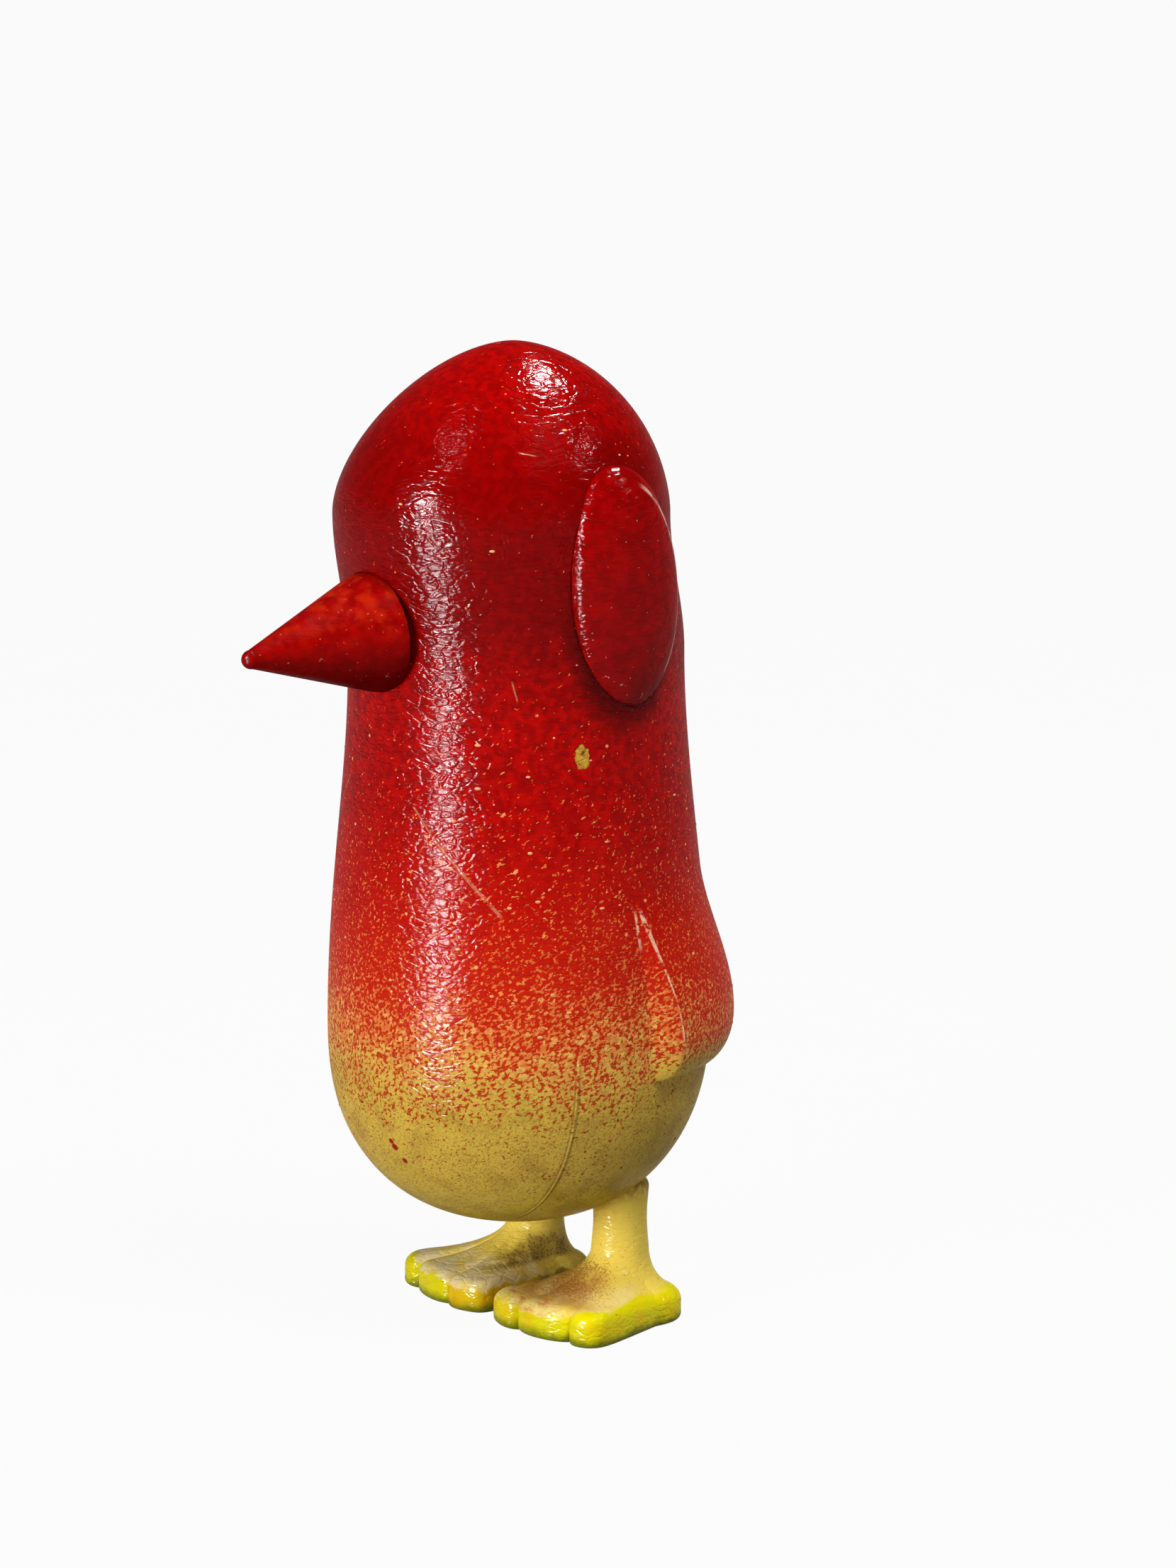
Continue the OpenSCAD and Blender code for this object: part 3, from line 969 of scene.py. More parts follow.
    def coats(self, desk: Desk, where: Flow, figure: Figure) -> Coats:
        """Colour, relief and share of the wrinkles at a place in millimetres."""
        height = where.part("Z")
        level = self.level(desk, where, height)
        base = level.ramp(((12, self.olive), (20, self.khaki), (26, self.khaki), (31, self.cream),
                           (35, self.speck), (41, self.ember), (52, self.ember)))
        ripe = desk.patches(where, self.RIPE) * level.step(26.0, 33.0, 0.0, 0.85)
        base = self.dirt(desk, where, height, desk.blend(ripe, base, self.orange))
        # The spray turns from the darker red back to the lighter red at the top of the crown: painted light on
        # the upward-facing crown.
        spray = level.ramp(((14, self.brown), (22, mix_colour(self.brown, self.rust, 0.6)), (27, self.rust),
                            (32, mix_colour(self.rust, self.warm_red, 0.6)), (38, self.warm_red),
                            (46, mix_colour(self.warm_red, self.red, 0.7)), (56, self.red), (64, self.red),
                            (74, self.deep_red), (89, self.deep_red), (98, self.red)))
        mottle = desk.patches(where, self.MOTTLE) * level.step(40.0, 60.0, 0.0, 0.55)
        spray = desk.blend(mottle, spray, self.dark_red)
        slanted = desk.stretched(where, self.SLANT, self.GRAIN_LENGTH)
        small, coarse = desk.noise(slanted, *self.SMALL_GRAIN), desk.noise(slanted, *self.COARSE_GRAIN)
        grain = desk.make("ShaderNodeMix", {0: level.step(19.0, 26.0), 2: small, 3: coarse})
        colour = desk.blend((level.ramp(self.COVER) - grain).step(*self.GRAIN_EDGE), base, spray)
        colour = self.flecks(desk, where, level, colour)
        # Painted shade: the head darkens around and under the ears.
        colour = desk.blend(self.painted_ear_shade(desk, where, figure), colour, self.shade)
        # Pale lines on each wing's edge and ridge: partly worn paint, partly painted highlight.
        colour = desk.blend(self.wear_and_highlight_lines(desk, where), colour, self.bare)
        colour, relief = self.marks(desk, where, height, colour, figure)
        return colour, relief, level.ramp(self.PEEL)

    def level(self, desk: Desk, where: Flow, height: Flow) -> Flow:
        """Height shifted by drifts of the spray, and by the wings, which are redder but for their tips."""
        level = height
        for scale, reach in self.DRIFTS:
            level = (desk.noise(where, scale) - 0.5) * reach + level
        lift, run, edge = desk.values_of("wing_lift", "wing_run", "wing_edge")
        tip = run.step(0.2, 0.02) * lift.step(0.02, 0.2)
        under = edge.step(-3.0, 1.0) * lift.step(0.1, 0.02) * run.step(0.08, -0.06)
        level = under * -self.UNDER_DROP + (tip * -self.TIP_DROP + level)
        return lift * self.WING_RISE + level

    def dirt(self, desk: Desk, where: Flow, height: Flow, base: Flow) -> Flow:
        """Adds brown clouds, fine dust and hairline scribbles to the cream."""
        low = height.step(33.0, 24.0)
        line = abs(desk.noise(desk.stretched(where, self.SLANT, 2.0), 1.5, 3.0) - 0.5).step(0.02, 0.006)
        for mask, share in ((desk.patches(where, self.CLOUD), 0.3), (desk.patches(where, self.DUST), 0.34),
                            (line * desk.patches(where, self.SCRIBBLED), 0.5)):
            base = desk.blend(mask * (low * share), base, self.brown)
        return base

    def painted_ear_shade(self, desk: Desk, where: Flow, figure: Figure) -> Flow:
        """Mask of the painted shade around and under the ears, where their shadow falls on the head."""
        ear, middle = figure.ear, figure.ear_middle + figure.axis
        here = desk.vector("ABSOLUTE", where).off(middle)
        oval = desk.vector("DIVIDE", here, (40.0, ear.half_w, ear.half_h)).length()
        near = oval.step(1.35, 0.95) * here.part("Z").step(4.0, -6.0, 0.3, 1.0)
        behind = where.part("Y").step(middle[1] - 12.0, middle[1] - 4.0)
        return near * behind * 0.75

    def wear_and_highlight_lines(self, desk: Desk, where: Flow) -> Flow:
        """Mask of the thin pale lines along a wing's front edge and ridge: partly worn paint, partly painted
        highlight.
        """
        run, edge, ridge = desk.values_of("wing_run", "wing_edge", "wing_ridge")
        edge = abs(edge).step(0.2, 0.05) * run.band((0.62, 0.78), (0.9, 0.85))
        wide = run.step(0.45, 0.92, 0.09, 0.34)
        ridge = abs(ridge).step(wide, wide * 0.4) * run.band((0.12, 0.25), (0.9, 0.85))
        return edge.most(ridge) * desk.patches(where, self.BROKEN, 0.0, 0.85)

    def flecks(self, desk: Desk, where: Flow, level: Flow, colour: Flow) -> Flow:
        """Adds longer pale flecks in the red, and round spots: pale ones above and dark ones below."""
        streak = desk.noise(desk.stretched(where, self.SLANT, 2.6), 3.0) - level.ramp(self.FLECK_RARITY)
        streak = streak.step(0.0, 0.03) * level.step(38.0, 44.0)
        tone = desk.blend(desk.patches(where, self.FLECK_TONE), self.speck, self.orange)
        colour = desk.blend(streak * 0.9, colour, tone)
        cells = desk.put("ShaderNodeTexVoronoi", {"Vector": where, "Scale": self.SPOTS}).outputs
        lot = desk.put("ShaderNodeSeparateColor", {0: Flow(desk, cells["Color"])}).outputs
        size = Flow(desk, lot[0]) * 0.14 + 0.07
        spot = Flow(desk, cells["Distance"]).step(size, size * 0.6)
        spot = spot * Flow(desk, lot[1]).above(level.ramp(self.SPOT_RARITY))
        return desk.blend(spot, colour, level.ramp(((30, self.rust), (33, self.cream), (40, self.speck))))

    def stroke(self, where: Flow, figure: Figure, start: Pair, end: Pair, width: float) -> Flow:
        """Mask of a straight scratch between two places on the body.

        Args:
            where: Place in millimetres.
            figure: Figure that is painted.
            start: Angle and height of one end.
            end: Angle and height of the other end.
            width: Half width in millimetres.

        Returns:
            Mask from 0 to 1.
        """
        first, last = figure.on_skin(*start), figure.on_skin(*end)
        length = float(np.linalg.norm(last - first))
        along = (last - first) / length
        out = ((first + last) / 2 - figure.axis) * np.array([1.0, 1.0, 0.0])
        across = np.cross(along, out)
        here = where.off(first)
        line = abs(here.along(across / np.linalg.norm(across))).step(width, width * 0.35)
        ends = here.along(along).band((0.0, self.SCRATCH_FADE), (length, length - self.SCRATCH_FADE))
        return line * ends * here.along(out).above(-60.0)

    def marks(self, desk: Desk, where: Flow, height: Flow, colour: Flow, figure: Figure) -> tuple[Flow, Flow]:
        """Adds scratches, the chip under the ear, spilt drops and the seam line.

        Args:
            desk: Desk of the paint.
            where: Place in millimetres.
            height: Height in millimetres.
            colour: Colour so far.
            figure: Figure that is painted.

        Returns:
            Colour and relief with the marks.
        """
        scratch, *others = (self.stroke(where, figure, *line) for line in self.SCRATCHES)
        for line in others:
            scratch = scratch.most(line)
        scratch = scratch * desk.patches(where, self.SCRATCHED)
        colour = desk.blend(scratch * 0.75, colour, self.tan)
        for angle, z, size in self.SPILLS:
            away = where.off(figure.on_skin(angle, z)).length()
            colour = desk.blend(away.step(size, size * 0.6), colour, self.spill)
        shape = desk.mapped(where.off(figure.on_skin(*self.CHIP_PLACE)), self.CHIP_TURN, self.CHIP_SHAPE)
        chip = ((desk.noise(where, 1.6) - 0.5) * 0.9 + shape.length()).step(1.0, 0.86)
        bared = desk.blend(desk.patches(where, self.CHIP_DIRT), self.chip, self.brown)
        colour = desk.blend(chip, colour, bared)
        across = where.part("Y") - (figure.axis_y - figure.body.seam_ahead)
        low = height.step(33.0, 27.0)
        colour = desk.blend(abs(across).step(0.13, 0.03) * (low * 0.6), colour, self.brown)
        seam = abs(across - 0.25).step(0.3, 0.0) * low
        relief = seam * 1.3 + (scratch + chip) * -0.5
        return colour, desk.bump(relief + self.touch(desk, where, figure), self.MARK_DEPTH)

    def touch(self, desk: Desk, where: Flow, figure: Figure) -> Flow:
        """Relief of a thumb mark: close curved ridges on the brow."""
        away = where.off(figure.on_skin(*self.THUMB_PLACE)).length()
        wavy = desk.noise(where, 0.5, 1.0) * 1.6 + away
        ridges = desk.math("SINE", wavy * (2 * math.pi / self.THUMB_RIDGE))
        return ridges * away.band((1.2, 2.0), (4.8, 3.6)) * 0.18


@dataclass(frozen=True)
class DropPaint(Paint):
    """Thick drops: pale on the red paint, rust red on the cream."""

    name: str = "drop_paint"
    gloss: Gloss = Gloss(smooth=0.2, rough=0.3, coat=0.2, peel=0.00001, wave=0.00005)
    pale: Colour = srgb(236, 150, 96)
    cream: Colour = srgb(232, 178, 122)
    rust: Colour = srgb(170, 46, 16)
    DRIFT: ClassVar[float] = 8.0

    def coats(self, desk: Desk, where: Flow, figure: Figure) -> Coats:
        """Colour of the drops on a figure."""
        belly_z = figure.body.belly_z
        level = (desk.noise(where, 0.4) - 0.5) * self.DRIFT + where.part("Z")
        pale = desk.blend(desk.noise(where, 1.3), self.pale, self.cream)
        return desk.blend(level.step(belly_z + 1.0, belly_z + 2.5), self.rust, pale), None, 1.0


@dataclass(frozen=True)
class BeakPaint(Paint):
    """Deep red with an orange bloom on the upper side, painted shade on the underside, and fine wear."""

    name: str = "beak_paint"
    gloss: Gloss = Gloss(smooth=0.24, rough=0.38, coat=0.08, peel=0.00004)
    red: Colour = srgb(158, 2, 1)
    dark: Colour = srgb(112, 1, 1)
    # under: colour of the painted shade on the underside.
    under: Colour = srgb(70, 0, 0)
    orange: Colour = srgb(188, 34, 6)
    bare: Colour = srgb(214, 150, 110)
    MOTTLE: ClassVar[Patches] = Patches(0.9, 3.0, 0.36, 0.62)
    BLOOM: ClassVar[Patches] = Patches(0.6, 4.0, 0.4, 0.68)
    DUST: ClassVar[Patches] = Patches(2.4, 1.5, 0.7, 0.76)

    def coats(self, desk: Desk, where: Flow, figure: Figure) -> Coats:
        """Colour of a figure's beak."""
        height, middle = where.part("Z"), figure.beak_z
        colour = desk.blend(desk.patches(where, self.MOTTLE) * 0.5, self.red, self.dark)
        bloom = height.step(middle - 2.0, middle + 4.0) * desk.patches(where, self.BLOOM)
        colour = desk.blend(bloom * 0.75, colour, self.orange)
        # Painted shade: the beak darkens below the middle of its root.
        colour = desk.blend(height.step(middle + 0.5, middle - 5.0, 0.0, 0.75), colour, self.under)
        return desk.blend(desk.patches(where, self.DUST) * 0.35, colour, self.bare), None, 1.0


@dataclass(frozen=True)
class EarPaint(Paint):
    """Deep red gloss, with a pale line on the rear rim that is partly worn paint and partly painted highlight.
    """

    name: str = "ear_paint"
    gloss: Gloss = Gloss(smooth=0.05, rough=0.12, coat=0.12, peel=0.00008, wave=0.0003)
    red: Colour = srgb(154, 1, 1)
    dark: Colour = srgb(100, 0, 0)
    # bare: pale of the dust specks, and of the rim line, which is partly painted highlight.
    bare: Colour = srgb(226, 176, 160)
    MOTTLE: ClassVar[Patches] = Patches(0.8, 3.0, 0.36, 0.64)
    DUST: ClassVar[Patches] = Patches(2.4, 1.5, 0.735, 0.78)
    WEAR: ClassVar[Patches] = Patches(0.9, 2.0, 0.3, 0.5)
    WORN_AT: ClassVar[float] = 0.87

    def coats(self, desk: Desk, where: Flow, figure: Figure) -> Coats:
        """Colour of a figure's ears."""
        colour = desk.blend(desk.patches(where, self.MOTTLE) * 0.45, self.red, self.dark)
        colour = desk.blend(desk.patches(where, self.DUST) * 0.6, colour, self.bare)
        oval, clock = desk.values_of("oval", "clock")
        # Pale line along the rear rim: partly worn paint, partly painted highlight.
        rim = abs(oval - self.WORN_AT).step(0.03, 0.008) * clock.band((14.0, 30.0), (150.0, 138.0))
        worn = rim * desk.patches(where, self.WEAR)
        return desk.blend(worn * 0.85, colour, self.bare), None, 1.0


@dataclass(frozen=True)
class LegPaint(Paint):
    """Cream yellow gloss with lime rims, amber inner toes, rust stipple and dirt at the shoulder; painted
    shade darkens the rims' bottoms and the feet's inner halves, and painted light pales the right foot's top.
    """

    name: str = "leg_paint"
    gloss: Gloss = Gloss(smooth=0.1, rough=0.2, coat=0.18, peel=0.00009, wave=0.0003)
    cream: Colour = srgb(244, 214, 88)
    pale: Colour = srgb(248, 230, 174)
    lime: Colour = srgb(232, 220, 8)
    amber: Colour = srgb(242, 190, 6)
    # green: colour of the painted shade at the bottom of the rim.
    green: Colour = srgb(106, 118, 4)
    blush: Colour = srgb(214, 96, 62)
    haze: Colour = srgb(182, 128, 62)
    # Colour of the staining and painted shade on the feet's inner halves.
    stain_and_shade: Colour = srgb(150, 122, 56)
    rust: Colour = srgb(156, 86, 36)
    brown: Colour = srgb(98, 72, 28)
    GRIME: ClassVar[Patches] = Patches(1.5, 3.0, 0.4, 0.58)
    SPOTS: ClassVar[Patches] = Patches(2.2, 1.0, 0.76, 0.79)
    FADED: ClassVar[Patches] = Patches(0.35, 3.0, 0.3, 0.6)
    CLOUD: ClassVar[Patches] = Patches(0.3, 2.0, 0.25, 0.5)
    HAZY: ClassVar[Patches] = Patches(0.45, 3.0, 0.25, 0.6)
    RIPE: ClassVar[Patches] = Patches(0.4, 2.0, 0.45, 0.75)
    FLUSH: ClassVar[Patches] = Patches(0.6, 3.0, 0.45, 0.66, 0.6)
    GRIT: ClassVar[float] = 4.6
    RAGGED: ClassVar[Triple] = (0.5, 4.0, 0.6)

    def coats(self, desk: Desk, where: Flow, figure: Figure) -> Coats:
        """Colour of a figure's legs."""
        height, left = where.part("Z"), where.part("X").step(-0.5, 0.5)
        colour = self.rim(desk, where, height, left, self.top(desk, where, left))
        shoulder = figure.socket_z - figure.leg.shoulder_r
        grime = height.step(shoulder - 1.6, shoulder + 0.4) * desk.patches(where, self.GRIME)
        colour = desk.blend(grime * 0.65, colour, self.rust)
        return desk.blend(desk.patches(where, self.SPOTS) * 0.6, colour, self.rust), None, 1.0

    def top(self, desk: Desk, where: Flow, left: Flow) -> Flow:
        """Colour of the leg and the foot's top.

        Args:
            desk: Desk of the paint.
            where: Place in millimetres.
            left: 1 on the left foot, which is stippled in rust; 0 on the right one, paler, partly by painted
                light, and more stained.

        Returns:
            Cream, paler ahead, with a stippled patch on the instep, and the inner half darkened by staining
            and by painted shade from the body and the other foot.
        """
        ahead, climb, spoke = desk.values_of("ahead", "climb", "spoke")
        # Paler front of the top: faded paint, and on the right foot, where it is stronger, partly painted
        # light.
        faded_and_lit = ahead * climb.step(0.55, 0.25) * desk.patches(where, self.FADED)
        colour = desk.blend(faded_and_lit * left.step(0.0, 1.0, 0.95, 0.4), self.cream, self.pale)
        rise = climb.band((0.06, 0.3), (0.95, 0.7))
        cloud = desk.patches(where, self.CLOUD)
        # The inner half near the leg darkens: partly staining, partly painted shade from the body above and
        # the other foot.
        stain_and_shade_mask = spoke.band((-150.0, -100.0), (0.0, -36.0)) * rise * cloud
        colour = desk.blend(stain_and_shade_mask * 0.85, colour, self.stain_and_shade)
        middle = spoke.band((-60.0, -24.0), (56.0, 20.0))
        instep = middle * rise * (cloud * left)
        broad = middle * climb.band((0.0, 0.1), (0.85, 0.5)) * left
        colour = desk.blend(broad * desk.patches(where, self.HAZY, 0.35, 0.85), colour, self.haze)
        patch = instep.most(stain_and_shade_mask * 0.8)
        spatter = (patch * 0.23 + 0.3 - desk.noise(where, self.GRIT)).step(-0.06, 0.04)
        return desk.blend(spatter * 0.6, colour, desk.blend(stain_and_shade_mask, self.rust, self.brown))

    def rim(self, desk: Desk, where: Flow, height: Flow, left: Flow, colour: Flow) -> Flow:
        """Adds the lime rim, amber on the inner toe and painted shade in darker green at its bottom, and the
        blush behind it.

        Args:
            desk: Desk of the paint.
            where: Place in millimetres.
            height: Height in millimetres.
            left: 1 on the left foot, 0 on the right one.
            colour: Colour so far.

        Returns:
            Colour with the rim.
        """
        ahead, climb, spoke, inward = desk.values_of("ahead", "climb", "spoke", "inward")
        low = climb.step(0.45, 0.25)
        ragged = desk.noise(where, *self.RAGGED) - 0.5
        edge = ragged * 5.0 + inward + spoke.step(36.0, 24.0) * height.step(1.7, 2.9, 0.0, 1.7)
        toe = spoke.step(-2.0, -12.0) * left.step(0.0, 1.0, 0.7, 0.4)
        ripe = desk.math("ADD", desk.patches(where, self.RIPE, 0.0, 0.5), toe, clamp=True)
        lime = desk.blend(ripe, self.lime, self.amber)
        # The inner rear rim darkens too: staining and painted shade between the feet.
        lime = desk.blend(spoke.step(-46.0, -64.0, 0.0, 0.85), lime, self.stain_and_shade)
        # Painted shade: the rim turns darker green toward the sole.
        lime = desk.blend((ragged * 1.5 + height).step(1.5, 0.2, 0.0, 0.9), lime, self.green)
        flush = abs(edge - 2.4).step(1.6, 0.3) * ahead * low * desk.patches(where, self.FLUSH)
        blush = spoke.step(34.0, 4.0, 0.1, 0.7) * left.step(0.0, 1.0, 0.25, 1.0)
        colour = desk.blend(flush * blush, colour, self.blush)
        return desk.blend(edge.step(2.0, 1.0) * low, colour, lime)


@dataclass(frozen=True)
class Maker:
    """Maker of a sub-assembly from the figure's forms, with a mould."""

    figure: Figure
    mould: Mould


@dataclass(frozen=True)
class Shells(Maker):
    """Front and back half shells of the body, with the moulded wings on the back one."""

    rows: int = 300
    side_columns: tuple[int, ...] = (84, 8, 42, 8, 20)
    focus_rise: float = 1.0
    focus_spread: float = 2.4
    cavity_rows: int = 110
    cavity_sides: int = 96
    bore_sides: int = 96
    rim_sides: int = 128
    sharp: float = 58.0
    far: float = 200.0
    sway_in: float = 8.0
    SWAYS: ClassVar[tuple[Triple, ...]] = ((0.03, 2.0, 7.0), (0.02, 5.0, -4.3))

    def skin(self, name: str) -> Solid:
        """Outer skin of the whole body with both wings."""
        form, wing = self.figure.body, self.figure.wing
        z = form.rows(self.rows, 0.0, form.belly_z - wing.drop + self.focus_rise, self.focus_spread)
        knots = np.stack([np.zeros_like(z), *wing.lines(z, form), np.full_like(z, 180.0)], -1)
        spans = [mix(knots[:, k:k + 1], knots[:, k + 1:k + 2], np.arange(n) / n)
                 for k, n in enumerate(self.side_columns)]
        left = np.concatenate([*spans, knots[:, -1:]], 1)
        angle = np.concatenate([left, 360.0 - left[:, -2:0:-1]], 1)
        signed = np.where(angle > 180.0, angle - 360.0, angle)
        high = z[:, None] + 0.0 * angle
        sway = sum(depth * (1 + np.sin(np.radians(turns * angle) + high / pitch))
                   for depth, turns, pitch in self.SWAYS)
        sway = sway * ease((high - form.ground_gap) / self.sway_in) * ease((form.top_z - high) / self.sway_in)
        r = form.radius(high) + wing.height(signed, high, form) - sway
        return form.closed(name, form.around(angle, r, high))

    def plain(self, name: str, grow: float, rows: int, sides: int) -> Solid:
        """Body form without wings, grown on every side."""
        form = self.figure.body
        angle = np.broadcast_to(spokes(sides), (rows, sides))
        high = form.rows(rows, grow)[:, None] + 0.0 * angle
        return form.closed(name, form.around(angle, form.radius(high, grow), high), grow)

    def hollow(self) -> Solid:
        """Inside of the body."""
        return self.plain("hollow", -self.figure.body.wall, self.cavity_rows, self.cavity_sides)

    def hip_rod(self, side: Side, r: float, low: float, high: float) -> Solid:
        """Upright rod on a hip's axis."""
        leg = self.figure.leg
        rod = Mould.rod("hip_rod", r, low, high, self.bore_sides)
        return Mould.place(rod, (0, 0, 0), (side.value * leg.hip_x, leg.hip_back, 0))

    def half_space(self, ahead: bool) -> Solid:
        """Box ahead of the seam or behind it."""
        seam, far = -self.figure.body.seam_ahead, self.far
        return Mould.block("half", (-far, -far if ahead else seam, -far), (far, seam if ahead else far, far))

    def cavity(self) -> Solid:
        """Hollow of the body, with both hip bosses left standing in it."""
        leg = self.figure.leg
        boss_r = leg.leg_r + leg.socket_clear + leg.boss_wall
        bosses = [self.hip_rod(side, boss_r, 0.0, self.figure.boss_z) for side in Side]
        return Mould.combine(self.hollow(), Cut.TAKE, *bosses)

    def hip_bores(self) -> list[Solid]:
        """Sockets, bores and flange rooms of both hips."""
        leg, boss_z = self.figure.leg, self.figure.boss_z
        room = 2 * leg.socket_clear
        return [self.hip_rod(side, r, low, high) for side in Side for r, low, high in (
            (leg.leg_r + leg.socket_clear, 0.0, self.figure.socket_z),
            (leg.peg_r + leg.peg_clear, 1.0, boss_z + leg.web),
            (leg.flange_r + room, boss_z, boss_z + leg.flange_t + 2 * room))]

    def beak_seat(self) -> list[Solid]:
        """Hole and counterbore for the beak."""
        beak = self.figure.beak
        tools = [Mould.rod("seat", beak.plug_r + beak.glue_gap, -beak.hole, beak.length, self.bore_sides),
                 Mould.rod("rim", beak.root_r + beak.glue_gap, 0.0, beak.length, self.rim_sides)]
        return [Beak.place(tool, self.figure) for tool in tools]

    def wing_marks(self, piece: Solid) -> None:
        """Stores each point's distance from the wing's edge and ridge, its run along the wing and its lift."""
        form, wing = self.figure.body, self.figure.wing
        x, y, z = self.mould.local(piece).T
        angle = np.degrees(np.arctan2(np.abs(x), form.centre(z) - y))
        front, ridge, _, _ = wing.lines(z, form)
        arc = np.radians(1.0) * form.radius(z)
        Mould.mark(piece, wing_edge=(angle - front) * arc, wing_ridge=(angle - ridge) * arc,
                   wing_run=wing.share(z, form), wing_lift=wing.height(angle, z, form) / wing.thick)

    def build(self, paint: bpy.types.Material) -> None:
        """Builds both shells and paints them."""
        front = Mould.combine(self.skin("front"), Cut.KEEP, self.half_space(True))
        Mould.combine(front, Cut.TAKE, self.hollow(), *self.beak_seat())
        back = Mould.combine(self.skin("back"), Cut.KEEP, self.half_space(False))
        pegs = [peg for side in Side for peg in Ears.pegs(self.figure, side, self.figure.ear.glue_gap)]
        Mould.combine(back, Cut.TAKE, self.cavity(), *self.hip_bores(), *pegs)
        for piece, name in ((front, "front_shell"), (back, "back_shell")):
            self.mould.finish(piece, name + "_skin", self.sharp)
            self.wing_marks(piece)
            dress(piece, paint, Body.FIGURE, Slot.BODY, name)


@dataclass(frozen=True)
class Ears(Maker):
    """Oval pads on the sides of the head, trimmed to it, on two pegs each."""

    shells: Shells
    sides: int = 160
    rows: int = 90
    head_rows: int = 260
    head_sides: int = 240
    sharp: float = 50.0

    @staticmethod
    def place(piece: Solid, figure: Figure) -> Solid:
        """Moves a solid about an ear's own middle to the left ear's place."""
        return Mould.place(piece, (figure.ear.tilt, 0, figure.ear.turn), figure.ear_middle)

    @staticmethod
    def pegs(figure: Figure, side: Side, gap: float) -> list[Solid]:
        """Both pegs of an ear, grown by a gap."""
        ear = figure.ear
        root = ear.half_t - ear.proud / 2
        length = ear.proud / 2 + figure.body.wall + ear.peg_past + gap
        made = []
        for up in (-1, 1):
            peg = Mould.rod("peg", ear.peg_r + gap, 0.0, length)
            Ears.place(Mould.place(peg, (0, -90, 0), (root, 0, up * ear.peg_gap)), figure)
            if side is Side.RIGHT:
                other = Mould.mirror(peg, "peg")
                Mould.drop(peg)
                peg = other
            made.append(peg)
        return made

    def pad(self) -> Solid:
        """Left pad, with its back trimmed to the head."""
        ear = self.figure.ear
        tilt = np.linspace(-np.pi / 2, np.pi / 2, self.rows + 2)[1:-1, None]
        rings = ring(spokes(self.sides), np.cos(tilt), np.sin(tilt)) * (ear.half_t, ear.half_w, ear.half_h)
        pad = Ears.place(Mould.stacked("pad", rings, (0, 0, -ear.half_h), (0, 0, ear.half_h)), self.figure)
        Mould.combine(pad, Cut.TAKE, self.shells.plain("head", ear.glue_gap, self.head_rows, self.head_sides))
        return Mould.combine(pad, Cut.JOIN, *Ears.pegs(self.figure, Side.LEFT, 0.0))

    def build(self, paint: bpy.types.Material) -> None:
        """Builds both ears and paints them."""
        ear = self.figure.ear
        left = self.pad()
        right = Mould.mirror(left, "right")
        for piece, side, name in ((left, Side.LEFT, "left_ear"), (right, Side.RIGHT, "right_ear")):
            self.mould.finish(piece, name + "_pad", self.sharp)
            x, y, z = (self.mould.local(piece) * (side.value, 1, 1) - self.figure.ear_middle).T
            y = y * cos_deg(ear.turn) - x * sin_deg(ear.turn)
            c, s = cos_deg(ear.tilt), sin_deg(ear.tilt)
            y, z = y * c + z * s, z * c - y * s
            across, up = y / ear.half_w, z / ear.half_h
            Mould.mark(piece, oval=np.hypot(across, up), clock=np.degrees(np.arctan2(across, up)))
            dress(piece, paint, Body.FIGURE, Slot.EAR, name)


